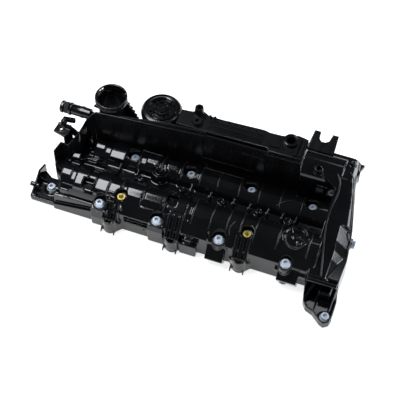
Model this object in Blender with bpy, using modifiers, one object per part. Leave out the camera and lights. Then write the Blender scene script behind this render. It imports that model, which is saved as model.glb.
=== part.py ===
"""Cylinder head cover of a four-cylinder engine with a built-in oil separator.

Design frame, in millimetres: x runs along the crankshaft, y across the engine towards the
separator, z up from the sealing face; x = 0 lies midway between cylinders 2 and 3. The assembly
empty at the end carries every piece to the frame of the whole object, whose origin is the centre
of its underside.
"""
import math

import bmesh
import bpy
from mathutils import Matrix, Vector

MM = 0.001
GAP = 0.35                      # clearance between neighbouring pieces
ORIGIN = Vector((-10.0, 2.0, -1.0))   # bottom centre of the object, in the design frame

# Driving dimensions
WALL = 3.0
RIM_WIDTH = 10.0                # sealing rim of the tray
FRONT_RIM = 14.0                # extra rim along the front, inside the row of screws
RIM_HEIGHT = 7.0
GROOVE_WIDTH = 4.6              # of the gasket's groove
GROOVE_DEPTH = 5.0
TRAY_TOP = 38.0
FRONT_Y = -60.0
BACK_Y = 100.0
FRONT_HUMP = (-27.0, 34.0, 27.0, -200.0)   # y, z, radius and left end of a camshaft hump
REAR_HUMP = (34.0, 36.0, 21.0, -176.0)
HUMP_RIGHT = 187.0
PLATFORM_Z = 38.1               # flat area under the separator, the neck and the pipe
SEPARATOR_TOP = 112.0
LID_TOP = 115.2
SEPARATOR_X = (-58.5, 127.0)
WALL_LEFT = (-177.0, 46.0)      # left end of the tall wall, in plan
WALL_RIGHT = (-14.0, 59.0)
PLATE = 2.5

CAM_SCREWS_FRONT = [(-132.0, -56.0), (-45.0, -56.0), (48.0, -56.0), (147.5, -61.5)]
CAM_SCREWS_REAR = [(-113.0, 35.0), (-26.0, 35.0), (65.0, 38.0), (156.0, 39.0)]
CORNER_SCREW = (-219.0, -34.0)
EAR_SCREW = (220.0, -106.0)
HEAD_SEAT = 40.0                # underside of the screw heads above the sealing face
CORNER_SEAT = 9.0               # the same at the corner and on the ear
SHAFT_RADIUS = 3.0              # of the screws
SLEEVE_RADIUS = 6.0
COLUMN_RADIUS = 9.0             # moulded column around a sleeve
SCREW_POCKET = 13.0             # radius cut into the humps around a screw head
TOWERS = (-114.0, -19.0, 82.0)  # x of the three front towers
TOWER_RADIUS = 12.0
UPPER_INSERTS = [(-104.5, -40.0), (84.0, -39.0)]
LOWER_INSERTS = [(-114.0, -67.7), (82.0, -67.7)]
UPPER_BOSS_TOP = 50.0
LOWER_BOSS_TOP = 20.0
INSERT_RADIUS = 4.5
INSERT_POCKET = 9.0
INSERT_DEPTH = 10.5

VALVE = (-90.0, 86.5)           # axis of the pressure control valve
VALVE_CUP_TOP = 103.0
VALVE_FLOOR = 84.0              # where the valve's spring stands
VALVE_SEAT = 93.0               # rim of the tube that the valve plate closes
VALVE_PLATE_Z = 97.5            # underside of the open valve plate
NECK = (-161.0, 71.0)           # axis of the oil filler neck
NECK_TOP = 125.0
PIPE_Y, PIPE_Z = 54.0, 92.0     # breather pipe axis
PIPE_FOOT_X = -184.5
PIPE_BEND = 9.0
PIPE_RADIUS = 6.7
PIPE_BORE = 4.6
DRAIN = (98.0, 80.0)            # oil return of the separator
BAFFLE_Z = 58.0
DISC_THICKNESS = 1.5            # of the disc that closes the oil return
DISC_LIFT = 3.0
CYCLONES_X = (-30.0, 2.0, 34.0, 66.0)
CYCLONE_Y = 76.0
SIDE_SCREW = (8.0, 30.0)        # y and z of the screw in the end wall
SIDE_FACE = 224.0


# ---------------------------------------------------------------- scene and materials
for old in list(bpy.data.objects):
    bpy.data.objects.remove(old, do_unlink=True)

cover = bpy.data.collections.new("cylinder_head_cover")
bpy.context.scene.collection.children.link(cover)


def material(name, color, roughness, metallic=0.0):
    mat = bpy.data.materials.new(name)
    mat.use_nodes = True
    shader = mat.node_tree.nodes["Principled BSDF"]
    shader.inputs["Base Color"].default_value = (*color, 1.0)
    shader.inputs["Roughness"].default_value = roughness
    shader.inputs["Metallic"].default_value = metallic
    return mat


def black_plastic(name, roughness=0.22):
    return material(name, (0.012, 0.012, 0.014), roughness)


def zinc(name):
    return material(name, (0.74, 0.78, 0.84), 0.3, 0.9)


def brass(name):
    return material(name, (0.78, 0.6, 0.2), 0.3, 1.0)


def rubber(name):
    return material(name, (0.02, 0.02, 0.022), 0.75)


def steel(name):
    return material(name, (0.6, 0.6, 0.62), 0.35, 1.0)


# ---------------------------------------------------------------- modelling helpers
def mesh_object(name, bm):
    mesh = bpy.data.meshes.new(name)
    bm.to_mesh(mesh)
    bm.free()
    obj = bpy.data.objects.new(name, mesh)
    cover.objects.link(obj)
    return obj


def box(x, y, z):
    """Box between the given (low, high) pairs."""
    size = [(high - low) * MM for low, high in (x, y, z)]
    middle = [(high + low) / 2 * MM for low, high in (x, y, z)]
    bm = bmesh.new()
    bmesh.ops.create_cube(bm, size=1.0, matrix=Matrix.LocRotScale(middle, None, size))
    return mesh_object("box", bm)


def cylinder(centre, radius, span, axis="Z", segments=18, top_radius=None):
    """Cylinder or cone about an axis; centre holds the two other coordinates."""
    low, high = span
    turn = {"Z": Matrix.Identity(4),
            "X": Matrix.Rotation(math.pi / 2, 4, "Y"),
            "Y": Matrix.Rotation(-math.pi / 2, 4, "X")}[axis]
    middle = (low + high) / 2
    place = {"Z": (centre[0], centre[1], middle),
             "X": (middle, centre[0], centre[1]),
             "Y": (centre[0], middle, centre[1])}[axis]
    bm = bmesh.new()
    bmesh.ops.create_cone(bm, cap_ends=True, segments=segments, radius1=radius * MM,
                          radius2=(radius if top_radius is None else top_radius) * MM,
                          depth=(high - low) * MM,
                          matrix=Matrix.Translation(Vector(place) * MM) @ turn)
    return mesh_object("cylinder", bm)


def evaluated_mesh(obj):
    depsgraph = bpy.context.evaluated_depsgraph_get()
    depsgraph.update()
    return bpy.data.meshes.new_from_object(obj.evaluated_get(depsgraph))


def curve_to_mesh(curve, matrix):
    """Turn a filled or bevelled curve into a welded mesh object."""
    source = bpy.data.objects.new("curve", curve)
    cover.objects.link(source)
    bm = bmesh.new()
    bm.from_mesh(evaluated_mesh(source))
    bmesh.ops.remove_doubles(bm, verts=bm.verts, dist=1e-6)
    bmesh.ops.recalc_face_normals(bm, faces=bm.faces)
    bm.transform(matrix)
    bpy.data.objects.remove(source)
    return mesh_object("curve_mesh", bm)


def prism(outlines, span, axis="Z"):
    """Extrude closed outlines (the first is the outside, the rest are holes) along an axis."""
    if not isinstance(outlines[0], list):
        outlines = [outlines]
    curve = bpy.data.curves.new("outline", "CURVE")
    curve.dimensions = "2D"
    curve.fill_mode = "BOTH"
    curve.extrude = (span[1] - span[0]) / 2 * MM
    for outline in outlines:
        spline = curve.splines.new("POLY")
        spline.points.add(len(outline) - 1)
        spline.use_cyclic_u = True
        for point, (u, v) in zip(spline.points, outline):
            point.co = (u * MM, v * MM, 0.0, 1.0)
    middle = (span[0] + span[1]) / 2 * MM
    matrix = {"Z": Matrix(((1, 0, 0, 0), (0, 1, 0, 0), (0, 0, 1, middle), (0, 0, 0, 1))),
              "X": Matrix(((0, 0, 1, middle), (1, 0, 0, 0), (0, 1, 0, 0), (0, 0, 0, 1))),
              "Y": Matrix(((1, 0, 0, 0), (0, 0, -1, middle), (0, 1, 0, 0), (0, 0, 0, 1)))}[axis]
    return curve_to_mesh(curve, matrix)


def turned(profile, centre, segments=24):
    """Revolve a closed (radius, z) profile, listed top to bottom on its outer side."""
    bm = bmesh.new()
    points = [bm.verts.new((r * MM, 0.0, z * MM)) for r, z in profile]
    for first, second in zip(points, points[1:] + points[:1]):
        bm.edges.new((first, second))
    obj = mesh_object("turned", bm)
    screw = obj.modifiers.new("turn", "SCREW")
    screw.axis = "Z"
    screw.steps = screw.render_steps = segments
    screw.use_merge_vertices = True
    screw.merge_threshold = 0.00001
    screw.use_normal_calculate = False
    obj.location = (centre[0] * MM, centre[1] * MM, 0.0)
    return baked(obj)


def tube(points, radius, sides=2):
    """Closed round bar along a list of points."""
    curve = bpy.data.curves.new("path", "CURVE")
    curve.dimensions = "3D"
    curve.bevel_depth = radius * MM
    curve.bevel_resolution = sides
    curve.use_fill_caps = True
    spline = curve.splines.new("POLY")
    spline.points.add(len(points) - 1)
    for point, co in zip(spline.points, points):
        point.co = (*(Vector(co) * MM), 1.0)
    return curve_to_mesh(curve, Matrix.Identity(4))


def baked(obj):
    """Replace an object's mesh by its evaluated mesh in the design frame."""
    mesh = evaluated_mesh(obj)
    obj.modifiers.clear()
    obj.data = mesh
    obj.data.transform(Matrix.Translation(obj.location))
    obj.location = (0.0, 0.0, 0.0)
    return obj


def combine(target, tools, operation):
    for tool in tools:
        modifier = target.modifiers.new("combine", "BOOLEAN")
        modifier.operation = operation
        modifier.solver = "EXACT"
        modifier.object = tool
        mesh = evaluated_mesh(target)
        target.modifiers.clear()
        target.data = mesh
        bpy.data.objects.remove(tool)
    return target


def union(target, *tools):
    return combine(target, tools, "UNION")


def cut(target, *tools):
    return combine(target, tools, "DIFFERENCE")


def finish(obj, name, mat, sharp=35.0):
    obj.name = name
    obj.data.name = name
    obj.data.materials.clear()
    obj.data.materials.append(mat)
    obj.data.shade_smooth()
    obj.data.set_sharp_from_angle(angle=math.radians(sharp))
    return obj


def set_origin(obj, point):
    """Move the object's origin to a point of the design frame and leave its shape in place."""
    place = Vector(point) * MM
    obj.data.transform(Matrix.Translation(-place))
    obj.location = place
    return obj


def finish_all(pieces, name, mat):
    """Finish repeated pieces, each its own node, with one shared material."""
    return [finish(piece, f"{name}_{i + 1}", mat) for i, piece in enumerate(pieces)]


def inset(outline, distance):
    """Move each side of an outline inwards (counter-clockwise order) by a distance."""
    points = [Vector(p) for p in outline]
    result = []
    for i, point in enumerate(points):
        before = (point - points[i - 1]).normalized()
        after = (points[(i + 1) % len(points)] - point).normalized()
        normal_before = Vector((-before.y, before.x))
        normal_after = Vector((-after.y, after.x))
        scale = distance / (1.0 + normal_before.dot(normal_after))
        result.append(tuple(point + (normal_before + normal_after) * scale))
    return result


def band(line, thickness):
    """Outline of a wall that runs along an open line, on its left side."""
    points = [Vector(p) for p in line]
    other_side = []
    for i, point in enumerate(points):
        before = (point - points[max(i - 1, 0)]).normalized()
        after = (points[min(i + 1, len(points) - 1)] - point).normalized()
        along = (before + after).normalized()
        normal = Vector((-along.y, along.x))
        scale = thickness / max(0.5, abs(normal.dot(Vector((-after.y, after.x))) or 1.0))
        other_side.append(tuple(point + normal * scale))
    return list(line) + other_side[::-1]


# ---------------------------------------------------------------- outlines shared by pieces
ARCH_EDGE = [(225.0, -62.0), (226.0, -25.0), (222.0, 8.0), (216.0, 30.0), (208.0, 60.0)]
TRAY = [(-205.0, FRONT_Y), *ARCH_EDGE, (205.0, BACK_Y), (-185.0, BACK_Y),
        (-205.0, 66.0), (-222.0, 30.0), (-222.0, -10.0), (-205.0, -18.0)]
ARCH_PLAN = [(180.0, -64.0), (224.8, -64.0), *[(x - 0.2, y) for x, y in ARCH_EDGE[1:]],
             (204.8, BACK_Y - 0.3), (160.0, BACK_Y - 0.3), (160.0, 58.0), (182.0, 46.0)]
ARCH_SIDE = [(-63.0, 5.0), (120.0, 5.0), (120.0, 103.0), (60.0, 103.0), (45.0, 96.0),
             (28.0, 85.0), (8.0, 69.0), (-12.0, 59.0), (-36.0, 48.0), (-63.0, 39.0)]
SEPARATOR = [(SEPARATOR_X[0], 55.5), WALL_RIGHT, (SEPARATOR_X[1], 61.0),
             (SEPARATOR_X[1], 98.0), (SEPARATOR_X[0], 90.0)]
EAR = [(178.0, -52.0), (178.0, -64.0), (184.0, -92.0), (190.0, -100.0), (201.0, -104.0),
       (214.0, -115.0), (221.0, -118.0), (228.0, -113.0), (229.5, -100.0), (229.0, -80.0),
       (224.0, -52.0)]


# ---------------------------------------------------------------- the main moulding
def hump(data, shrink=0.0):
    y, z, radius, left = data
    return cylinder((y, z), radius - shrink, (left + shrink, HUMP_RIGHT - shrink), "X", 26)


def platform(grow):
    """Flat area that carries the separator, the neck and the pipe."""
    left, right = WALL_LEFT[0] - 1.5, SEPARATOR_X[1]
    outline = [(left, WALL_LEFT[1]), WALL_RIGHT, (right, 61.0), (right, 98.4), (left, 98.4)]
    return inset(outline, -grow)


def arch(shrink=0.0):
    """High right-hand end of the cover, over the camshaft drive."""
    body = prism(inset(ARCH_PLAN, shrink), (-10.0, 130.0))
    return combine(body, [prism(inset(ARCH_SIDE, shrink), (140.0, 240.0), "X")], "INTERSECT")


def barrel(shrink=0.0):
    """Lying cylinder to the right of the separator."""
    return cylinder((78.0, 84.0), 23.0 - shrink, (128.5 + shrink, 176.0 - shrink), "X", 26)


def barrel_base(shrink=0.0):
    return box((129.0 + shrink, 176.0), (56.0 + shrink, 99.5 - shrink), (20.0, 84.0))


def front_tower(x):
    """Round lower boss and the grooved ramp that rises from it to the front hump."""
    side = [(-58.0, 0.5), (-68.0, LOWER_BOSS_TOP + 1.0), (-46.0, UPPER_BOSS_TOP - 1.5),
            (-30.0, UPPER_BOSS_TOP - 1.5), (-30.0, 0.5)]
    tower = prism(side, (x - 11.0, x + 11.0), "X")
    union(tower, cylinder((x, -62.0), TOWER_RADIUS, (0.1, LOWER_BOSS_TOP)))
    groove = [(-80.0, LOWER_BOSS_TOP + 3.0), (-60.0, LOWER_BOSS_TOP + 3.0),
              (-45.0, UPPER_BOSS_TOP - 5.0), (-80.0, UPPER_BOSS_TOP - 5.0)]
    cut(tower, *[prism(groove, (x + side_x - 1.6, x + side_x + 1.6), "X")
                 for side_x in (-4.2, 4.2)])
    pocket = (LOWER_BOSS_TOP, LOWER_BOSS_TOP + 40.0)
    return cut(tower, *[cylinder(p, 6.4, pocket) for p in LOWER_INSERTS if p[0] == x])


def front_boss(outline, foot_y, top_y):
    """Boss under a front screw, with a face that slopes down and forward to foot_y."""
    boss = prism(outline, (9.0, TRAY_TOP - 0.5))
    slope = [(top_y, TRAY_TOP), (foot_y - 20.0, TRAY_TOP), (foot_y - 20.0, 16.0), (foot_y, 16.0)]
    under = [(top_y, 8.0), (foot_y, 16.0), (foot_y - 20.0, 16.0), (foot_y - 20.0, 8.0)]
    return cut(boss, prism(slope, (20.0, 180.0), "X"), prism(under, (20.0, 180.0), "X"))


def left_end_wall():
    """Thin wall that closes the left end and steps down from the tall wall."""
    line = [(-221.0, -7.0), (-217.5, 7.5), (-203.0, 4.0), (-193.0, 22.0), (-191.0, 40.0),
            (WALL_LEFT[0] - 1.0, 45.6)]
    body = prism(band(line, PLATE), (30.0, 110.0))
    slope = [(-150.0, 120.0), (-240.0, 120.0), (-240.0, 52.0), (-217.0, 69.0), (-203.0, 74.0),
             (-193.0, 86.0), (-189.0, 96.0), (-179.0, 108.5), (-150.0, 108.5)]
    return cut(body, prism(slope, (-20.0, 80.0), "Y"))


def corner():
    """Low flange at the left front with its upright web and a small stud."""
    plate = prism([(-243.0, -56.5), (-198.0, -57.5), (-198.0, -14.0), (-228.0, -14.0),
                   (-243.0, -4.0)], (0.0, 6.0))
    web = prism([(-56.0, 1.0), (-3.0, 1.0), (-3.0, 19.0), (-21.0, 27.0), (-30.0, 21.0),
                 (-56.0, 8.0)], (-244.0, -241.0), "X")
    return union(plate, web, cylinder((-39.0, 14.0), 3.6, (-250.0, -242.0), "X", 16),
                 cylinder(CORNER_SCREW, 10.5, (0.5, CORNER_SEAT - 0.5)))


def ear():
    """Bolting ear at the right front with a slot and two ribs."""
    plate = prism(EAR, (0.2, CORNER_SEAT - 1.0))
    cut(plate, box((201.0, 217.0), (-86.0, -70.0), (4.0, 20.0)))
    ribs = [prism([(-103.0, 3.0), (-103.0, 10.0), (-66.0, 30.0), (-50.0, 30.0), (-50.0, 3.0)],
                  (x, x + 2.6), "X") for x in (185.5, 196.0)]
    return union(plate, *ribs, cylinder(EAR_SCREW, 10.0, (0.5, CORNER_SEAT - 0.5)))


def make_cover_shell():
    shell = prism(TRAY, (0.0, TRAY_TOP))
    union(shell, hump(FRONT_HUMP), hump(REAR_HUMP), arch(), barrel_base(), barrel())
    union(shell, *[front_tower(x) for x in TOWERS])
    middle_boss = [(33.0, -50.0), (33.0, -72.0), (60.0, -72.0), (60.0, -50.0)]
    right_boss = [(131.0, -50.0), (131.0, -62.0), (138.0, -76.0), (162.0, -76.0),
                  (169.0, -62.0), (169.0, -50.0)]
    union(shell, front_boss(middle_boss, -68.0, -62.0), front_boss(right_boss, -72.0, -68.0))
    union(shell, left_end_wall(), corner(), ear())
    union(shell, prism([(200.0, 99.0), (200.0, 66.0), (211.0, 99.0)], (88.0, 95.0)),
          cylinder(SIDE_SCREW, 8.0, (205.0, SIDE_FACE), "X", 20))

    # Seats for the screws and the separator, then the hollow underside.
    cam_screws = CAM_SCREWS_REAR + CAM_SCREWS_FRONT
    cut(shell, *[cylinder(p, SCREW_POCKET, (TRAY_TOP, 90.0)) for p in cam_screws],
        prism(platform(GAP), (PLATFORM_Z, 130.0)))
    cut(shell, *[cylinder(p, INSERT_POCKET, (UPPER_BOSS_TOP - 0.5, 90.0), segments=20)
                 for p in UPPER_INSERTS])

    hollow = prism(inset(TRAY, WALL), (RIM_HEIGHT, TRAY_TOP - WALL))
    union(hollow, prism(rim_line(RIM_WIDTH), (-5.0, RIM_HEIGHT + 5.0)))
    union(hollow, hump(FRONT_HUMP, WALL), hump(REAR_HUMP, WALL), arch(WALL + 0.5))
    union(hollow, barrel_base(WALL), barrel(WALL))
    cut(hollow, prism(platform(GAP + WALL), (PLATFORM_Z - WALL, 140.0)))
    roof = (PLATFORM_Z - WALL, 120.0)
    cut(hollow, *[cylinder(p, SCREW_POCKET + WALL, roof) for p in cam_screws],
        *[cylinder(p, INSERT_POCKET + WALL, roof) for p in UPPER_INSERTS])
    cut(shell, hollow)

    # Columns around the screws, then every bore.
    union(shell, *[cylinder(p, COLUMN_RADIUS, (0.2, TRAY_TOP - 1.0), segments=20)
                   for p in cam_screws])
    bores = [cylinder(p, SLEEVE_RADIUS + GAP, (-5.0, 60.0), segments=16) for p in cam_screws]
    bores += [cylinder(p, SHAFT_RADIUS + GAP, (-5.0, 30.0), segments=12)
              for p in (CORNER_SCREW, EAR_SCREW)]
    bores += [cylinder(p, INSERT_RADIUS + GAP, (UPPER_BOSS_TOP - INSERT_DEPTH - 1.0, 60.0),
                       segments=16) for p in UPPER_INSERTS]
    bores += [cylinder(p, INSERT_RADIUS + GAP, (LOWER_BOSS_TOP - INSERT_DEPTH - 0.5, 30.0),
                       segments=16) for p in LOWER_INSERTS]
    bores += [cylinder(NECK, 17.0, (20.0, 60.0)),
              cylinder(VALVE, 12.0, (20.0, 60.0)),
              cylinder((PIPE_FOOT_X, PIPE_Y), PIPE_BORE, (20.0, 60.0), segments=16),
              cylinder(DRAIN, 6.0, (20.0, 60.0)),
              cylinder(SIDE_SCREW, 3.2, (200.0, 240.0), "X", 16)]
    cut(shell, *bores)
    cut(shell, gasket_ring(GROOVE_WIDTH, GROOVE_DEPTH, -1.0))
    return finish(shell, "cover_shell", black_plastic("black_moulding"))


def rim_line(distance):
    """Outline a distance inside the tray, and further in along the front screws."""
    front = FRONT_Y + FRONT_RIM + distance
    return [(x, max(y, front)) for x, y in inset(TRAY, distance)]


def gasket_ring(width, top, bottom):
    """Closed ring that follows the rim of the tray."""
    middle = RIM_WIDTH / 2
    return prism([rim_line(middle - width / 2), rim_line(middle + width / 2)], (bottom, top))


# ---------------------------------------------------------------- separator
def separator_walls():
    """The separator's ring of walls, and the long leaning wall in front of it."""
    base = PLATFORM_Z + GAP
    body = prism(SEPARATOR, (base, SEPARATOR_TOP))
    cut(body, prism(inset(SEPARATOR, PLATE), (0.0, 150.0)))
    tall = [(WALL_LEFT[0], base), (WALL_RIGHT[0] + 3.0, base), (WALL_RIGHT[0] + 3.0, 111.5),
            (WALL_RIGHT[0], 119.0), (-64.0, 119.5), (WALL_LEFT[0], 109.0)]
    wall = prism(tall, (0.0, PLATE), "Y")
    slope = (WALL_RIGHT[1] - WALL_LEFT[1]) / (WALL_RIGHT[0] - WALL_LEFT[0])
    shear = Matrix.Identity(4)
    shear[1][0] = slope
    shear[1][3] = (WALL_LEFT[1] - slope * WALL_LEFT[0]) * MM
    wall.data.transform(shear)
    return body, wall


def make_separator_housing():
    """Open box with the long front wall and the cup of the pressure control valve."""
    body, wall = separator_walls()
    union(body, wall)
    cup = cylinder(VALVE, 28.0, (PLATFORM_Z + GAP, VALVE_CUP_TOP), segments=28)
    union(body, cup, box((-72.0, -57.0), (72.0, 88.0), (60.0, 92.0)))
    cut(body, cylinder(VALVE, 25.5, (VALVE_FLOOR, 130.0), segments=28),
        cylinder(VALVE, 25.0, (0.0, VALVE_FLOOR - PLATE), segments=28))
    union(body, cylinder(VALVE, 8.5, (75.0, VALVE_SEAT), segments=20))
    cut(body, cylinder(VALVE, 6.0, (60.0, 130.0), segments=20))
    return finish(body, "separator_housing", black_plastic("black_separator", 0.3))


def make_separator_lid():
    """Welded lid with its ribs, studs and the ringed hole at the right."""
    low, high = SEPARATOR_TOP + GAP, LID_TOP
    outline = [(-60.0, 63.5), (-11.0, 63.5), (75.0, 66.0), (79.0, 61.0), (126.5, 62.0),
               (126.5, 99.0), (113.0, 101.5), (104.0, 100.5), (96.0, 96.0), (85.0, 92.0),
               (72.0, 93.0), (62.0, 95.0), (0.0, 92.0), (-20.0, 92.5), (-28.0, 97.0),
               (-38.0, 97.0), (-44.0, 92.0), (-60.0, 90.5)]
    lid = prism(outline, (low, high))
    union(lid, cylinder((104.0, 88.0), 11.0, (low + 0.5, high + 3.0)))
    rib_z = (high - 1.0, high + 1.2)
    ribs = [box((-12.0, 64.0), (76.0, 78.5), rib_z), box((-12.0, 64.0), (84.0, 86.5), rib_z),
            box((115.0, 117.5), (64.0, 96.0), (high - 1.0, high + 4.0)),
            box((121.0, 123.5), (64.0, 96.0), (high - 1.0, high + 4.0)),
            cylinder((-17.0, 90.0), 2.2, (high - 1.0, high + 3.0), segments=12),
            cylinder((-10.0, 90.0), 2.2, (high - 1.0, high + 3.0), segments=12)]
    union(lid, *ribs)
    cut(lid, cylinder((104.0, 88.0), 6.5, (90.0, 140.0)))
    return finish(lid, "separator_lid", black_plastic("black_lid", 0.3))


def make_rear_post():
    """Stepped post on the lid with one hole in its top and one in its foot."""
    foot = LID_TOP + GAP
    post = cylinder((-34.0, 91.0), 7.5, (foot, foot + 14.0), top_radius=6.0)
    union(post, box((-39.0, -25.0), (72.0, 90.0), (foot + 0.1, foot + 3.0)),
          cylinder((-31.0, 74.0), 6.5, (foot, foot + 6.0)))
    cut(post, cylinder((-34.0, 91.0), 3.0, (foot + 4.0, 150.0), segments=16),
        cylinder((-31.0, 74.0), 3.0, (foot + 2.0, 150.0), segments=16))
    return finish(post, "rear_post", black_plastic("black_post", 0.3))


def make_separator_baffle():
    """Plate across the separator with slots, and a cage with a cross bar over the oil return."""
    plate = prism(inset(SEPARATOR, PLATE + GAP), (BAFFLE_Z - 2.0, BAFFLE_Z))
    union(plate, cylinder(DRAIN, 11.0, (BAFFLE_Z - 1.0, BAFFLE_Z + 7.0)))
    cut(plate, cylinder(DRAIN, 8.5, (BAFFLE_Z, BAFFLE_Z + 20.0)))
    openings = [box((x - 2.0, x + 2.0), (68.0, 92.0), (40.0, 80.0)) for x in (-14.0, 18.0, 50.0)]
    openings += [cylinder(DRAIN, 5.0, (40.0, 80.0))]
    openings += [cylinder((x, CYCLONE_Y), 3.0, (40.0, 80.0), segments=16) for x in CYCLONES_X]
    cut(plate, *openings)
    stop_z = BAFFLE_Z + GAP + DISC_THICKNESS + DISC_LIFT + GAP
    union(plate, box((DRAIN[0] - 9.5, DRAIN[0] + 9.5), (DRAIN[1] - 1.5, DRAIN[1] + 1.5),
                     (stop_z, BAFFLE_Z + 7.0)))
    return finish(plate, "separator_baffle", black_plastic("black_baffle", 0.4))


def make_return_disc():
    """Loose disc that rests on the oil return and lifts inside its cage."""
    disc = cylinder(DRAIN, 8.0, (BAFFLE_Z + GAP, BAFFLE_Z + GAP + DISC_THICKNESS))
    finish(disc, "return_disc", rubber("return_disc_rubber"))
    return set_origin(disc, (*DRAIN, BAFFLE_Z + GAP))


def make_cyclone_cones():
    """Open cones that spin the oil out of the gas."""
    low, high = BAFFLE_Z + GAP, SEPARATOR_TOP - 1.0
    outer = [(11.0, high), (11.0, high - 14.0), (5.5, low)]
    inner = [(4.0, low), (9.5, high - 14.0), (9.5, high)]
    cones = [turned(outer + inner, (x, CYCLONE_Y), 12) for x in CYCLONES_X]
    return finish_all(cones, "cyclone_cone", black_plastic("black_cyclone", 0.35))


# ---------------------------------------------------------------- pressure control valve
def make_valve_cap():
    top = VALVE_CUP_TOP + 8.0
    profile = [(6.0, top), (11.0, top - 1.0), (12.5, top - 3.0), (19.0, top - 3.5),
               (21.0, top - 2.0), (26.0, top - 2.8), (30.0, top - 6.0), (30.0, top - 16.0),
               (28.0 + GAP, top - 16.0), (28.0 + GAP, VALVE_CUP_TOP + 1.8), (23.0, VALVE_CUP_TOP + 1.8),
               (22.0, top - 4.5), (19.0, top - 5.8), (11.0, top - 5.3), (6.0, top - 3.0)]
    cap = turned(profile, VALVE, 28)
    union(cap, cylinder(VALVE, 7.0, (top - 3.0, top - 0.4), segments=20))
    slots = []
    for turn in range(4):
        angle = math.radians(45.0 + 90.0 * turn)
        slot = box((13.5, 17.5), (-4.5, 4.5), (-20.0, 20.0))
        slot.data.transform(Matrix.Translation((VALVE[0] * MM, VALVE[1] * MM, top * MM))
                            @ Matrix.Rotation(angle, 4, "Z"))
        slots.append(slot)
    cut(cap, *slots)
    return finish(cap, "valve_cap", black_plastic("black_cap", 0.35))


def make_valve_diaphragm():
    """Rolling membrane: its rim lies on the cup, its middle carries the plate."""
    rim = VALVE_CUP_TOP + GAP
    profile = [(27.5, rim + 1.1), (27.5, rim), (24.6, rim), (22.0, rim - 4.0), (17.5, rim - 4.2),
               (15.0, VALVE_PLATE_Z + 3.4), (15.0, VALVE_PLATE_Z + 4.3), (18.0, rim - 3.2),
               (21.5, rim - 3.0), (24.0, rim + 1.1)]
    membrane = turned(profile, VALVE, 20)
    return finish(membrane, "valve_diaphragm", rubber("diaphragm_rubber"))


def make_valve_plate():
    plate = cylinder(VALVE, 14.4, (VALVE_PLATE_Z, VALVE_PLATE_Z + 2.0), segments=32)
    union(plate, cylinder(VALVE, 4.0, (VALVE_PLATE_Z + 1.0, VALVE_PLATE_Z + 5.0), segments=16))
    finish(plate, "valve_plate", material("valve_plate_plastic", (0.3, 0.3, 0.31), 0.45))
    return set_origin(plate, (*VALVE, VALVE_PLATE_Z))


def make_valve_spring():
    turns, steps, wire = 3, 10, 0.7
    low, high = VALVE_FLOOR + GAP + wire, VALVE_PLATE_Z - GAP - wire
    points = []
    for i in range(turns * steps + 1):
        angle = 2 * math.pi * i / steps
        rise = low + (high - low) * i / (turns * steps)
        points.append((VALVE[0] + 11.5 * math.cos(angle), VALVE[1] + 11.5 * math.sin(angle), rise))
    return finish(tube(points, wire, 1), "valve_spring", steel("spring_steel"))


# ---------------------------------------------------------------- neck and pipes
def make_filler_neck():
    low = PLATFORM_Z + GAP + 1.8
    profile = [(23.5, NECK_TOP), (23.5, NECK_TOP - 3.0), (22.0, NECK_TOP - 3.6),
               (22.0, NECK_TOP - 11.5), (19.6, NECK_TOP - 14.0), (19.6, low + 3.5), (20.8, low + 3.0),
               (20.8, low), (17.0, low), (17.0, NECK_TOP - 16.0), (19.5, NECK_TOP - 11.0),
               (19.5, NECK_TOP)]
    neck = turned(profile, NECK, 28)
    notches = []
    for turn in (35.0, 155.0, 275.0):
        angle = math.radians(turn)
        notch = box((17.0, 21.4), (-4.0, 4.0), (-7.0, 6.0))
        notch.data.transform(Matrix.Translation((NECK[0] * MM, NECK[1] * MM, NECK_TOP * MM))
                             @ Matrix.Rotation(angle, 4, "Z"))
        notches.append(notch)
    cut(neck, *notches)
    web = prism([(NECK[0] + 18.8, 70.0), (NECK[0] + 41.0, 70.0), (NECK[0] + 40.0, 92.0),
                 (NECK[0] + 33.0, 101.0), (NECK[0] + 28.0, 112.0), (NECK[0] + 18.8, 118.0)],
                (73.0, 77.0), "Y")
    left_web = prism([(NECK[0] - 18.8, 96.0), (NECK[0] - 27.0, 98.0), (NECK[0] - 18.8, 110.0)],
                     (64.0, 68.0), "Y")
    union(neck, web, left_web)
    return finish(neck, "filler_neck", black_plastic("black_neck", 0.38))


def make_filler_neck_seal():
    low = TRAY_TOP + GAP
    ring = turned([(20.5, low + 1.5), (20.5, low), (18.0, low), (18.0, low + 1.5)], NECK, 20)
    return finish(ring, "filler_neck_seal", rubber("neck_seal_rubber"))


def make_breather_pipe():
    """Hose stub with two beads that turns down into the cover."""
    foot = PLATFORM_Z + GAP
    bend = []
    for i in range(7):
        angle = math.pi / 2 * i / 6
        bend.append((PIPE_FOOT_X - PIPE_BEND * (1.0 - math.sin(angle)), PIPE_Y,
                     PIPE_Z - PIPE_BEND * (1.0 - math.cos(angle))))
    pipe = tube([(-233.0, PIPE_Y, PIPE_Z), *bend, (PIPE_FOOT_X, PIPE_Y, foot)], PIPE_RADIUS, 2)
    beads = [cylinder((PIPE_Y, PIPE_Z), 9.3, (-234.0, -228.0), "X", 20, 8.6),
             cylinder((PIPE_Y, PIPE_Z), 9.6, (-220.5, -216.5), "X", 20)]
    union(pipe, *beads)
    cut(pipe, tube([(-240.0, PIPE_Y, PIPE_Z), *bend, (PIPE_FOOT_X, PIPE_Y, foot - 5.0)],
                   PIPE_BORE, 2))
    return finish(pipe, "breather_pipe", black_plastic("black_pipe", 0.25))


def make_breather_pipe_seal():
    seal = cylinder((PIPE_Y, PIPE_Z), 8.6, (-227.0, -221.5), "X", 24)
    cut(seal, cylinder((PIPE_Y, PIPE_Z), PIPE_RADIUS + GAP, (-240.0, -210.0), "X", 24))
    return finish(seal, "breather_pipe_seal", rubber("pipe_seal_rubber"))


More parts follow.
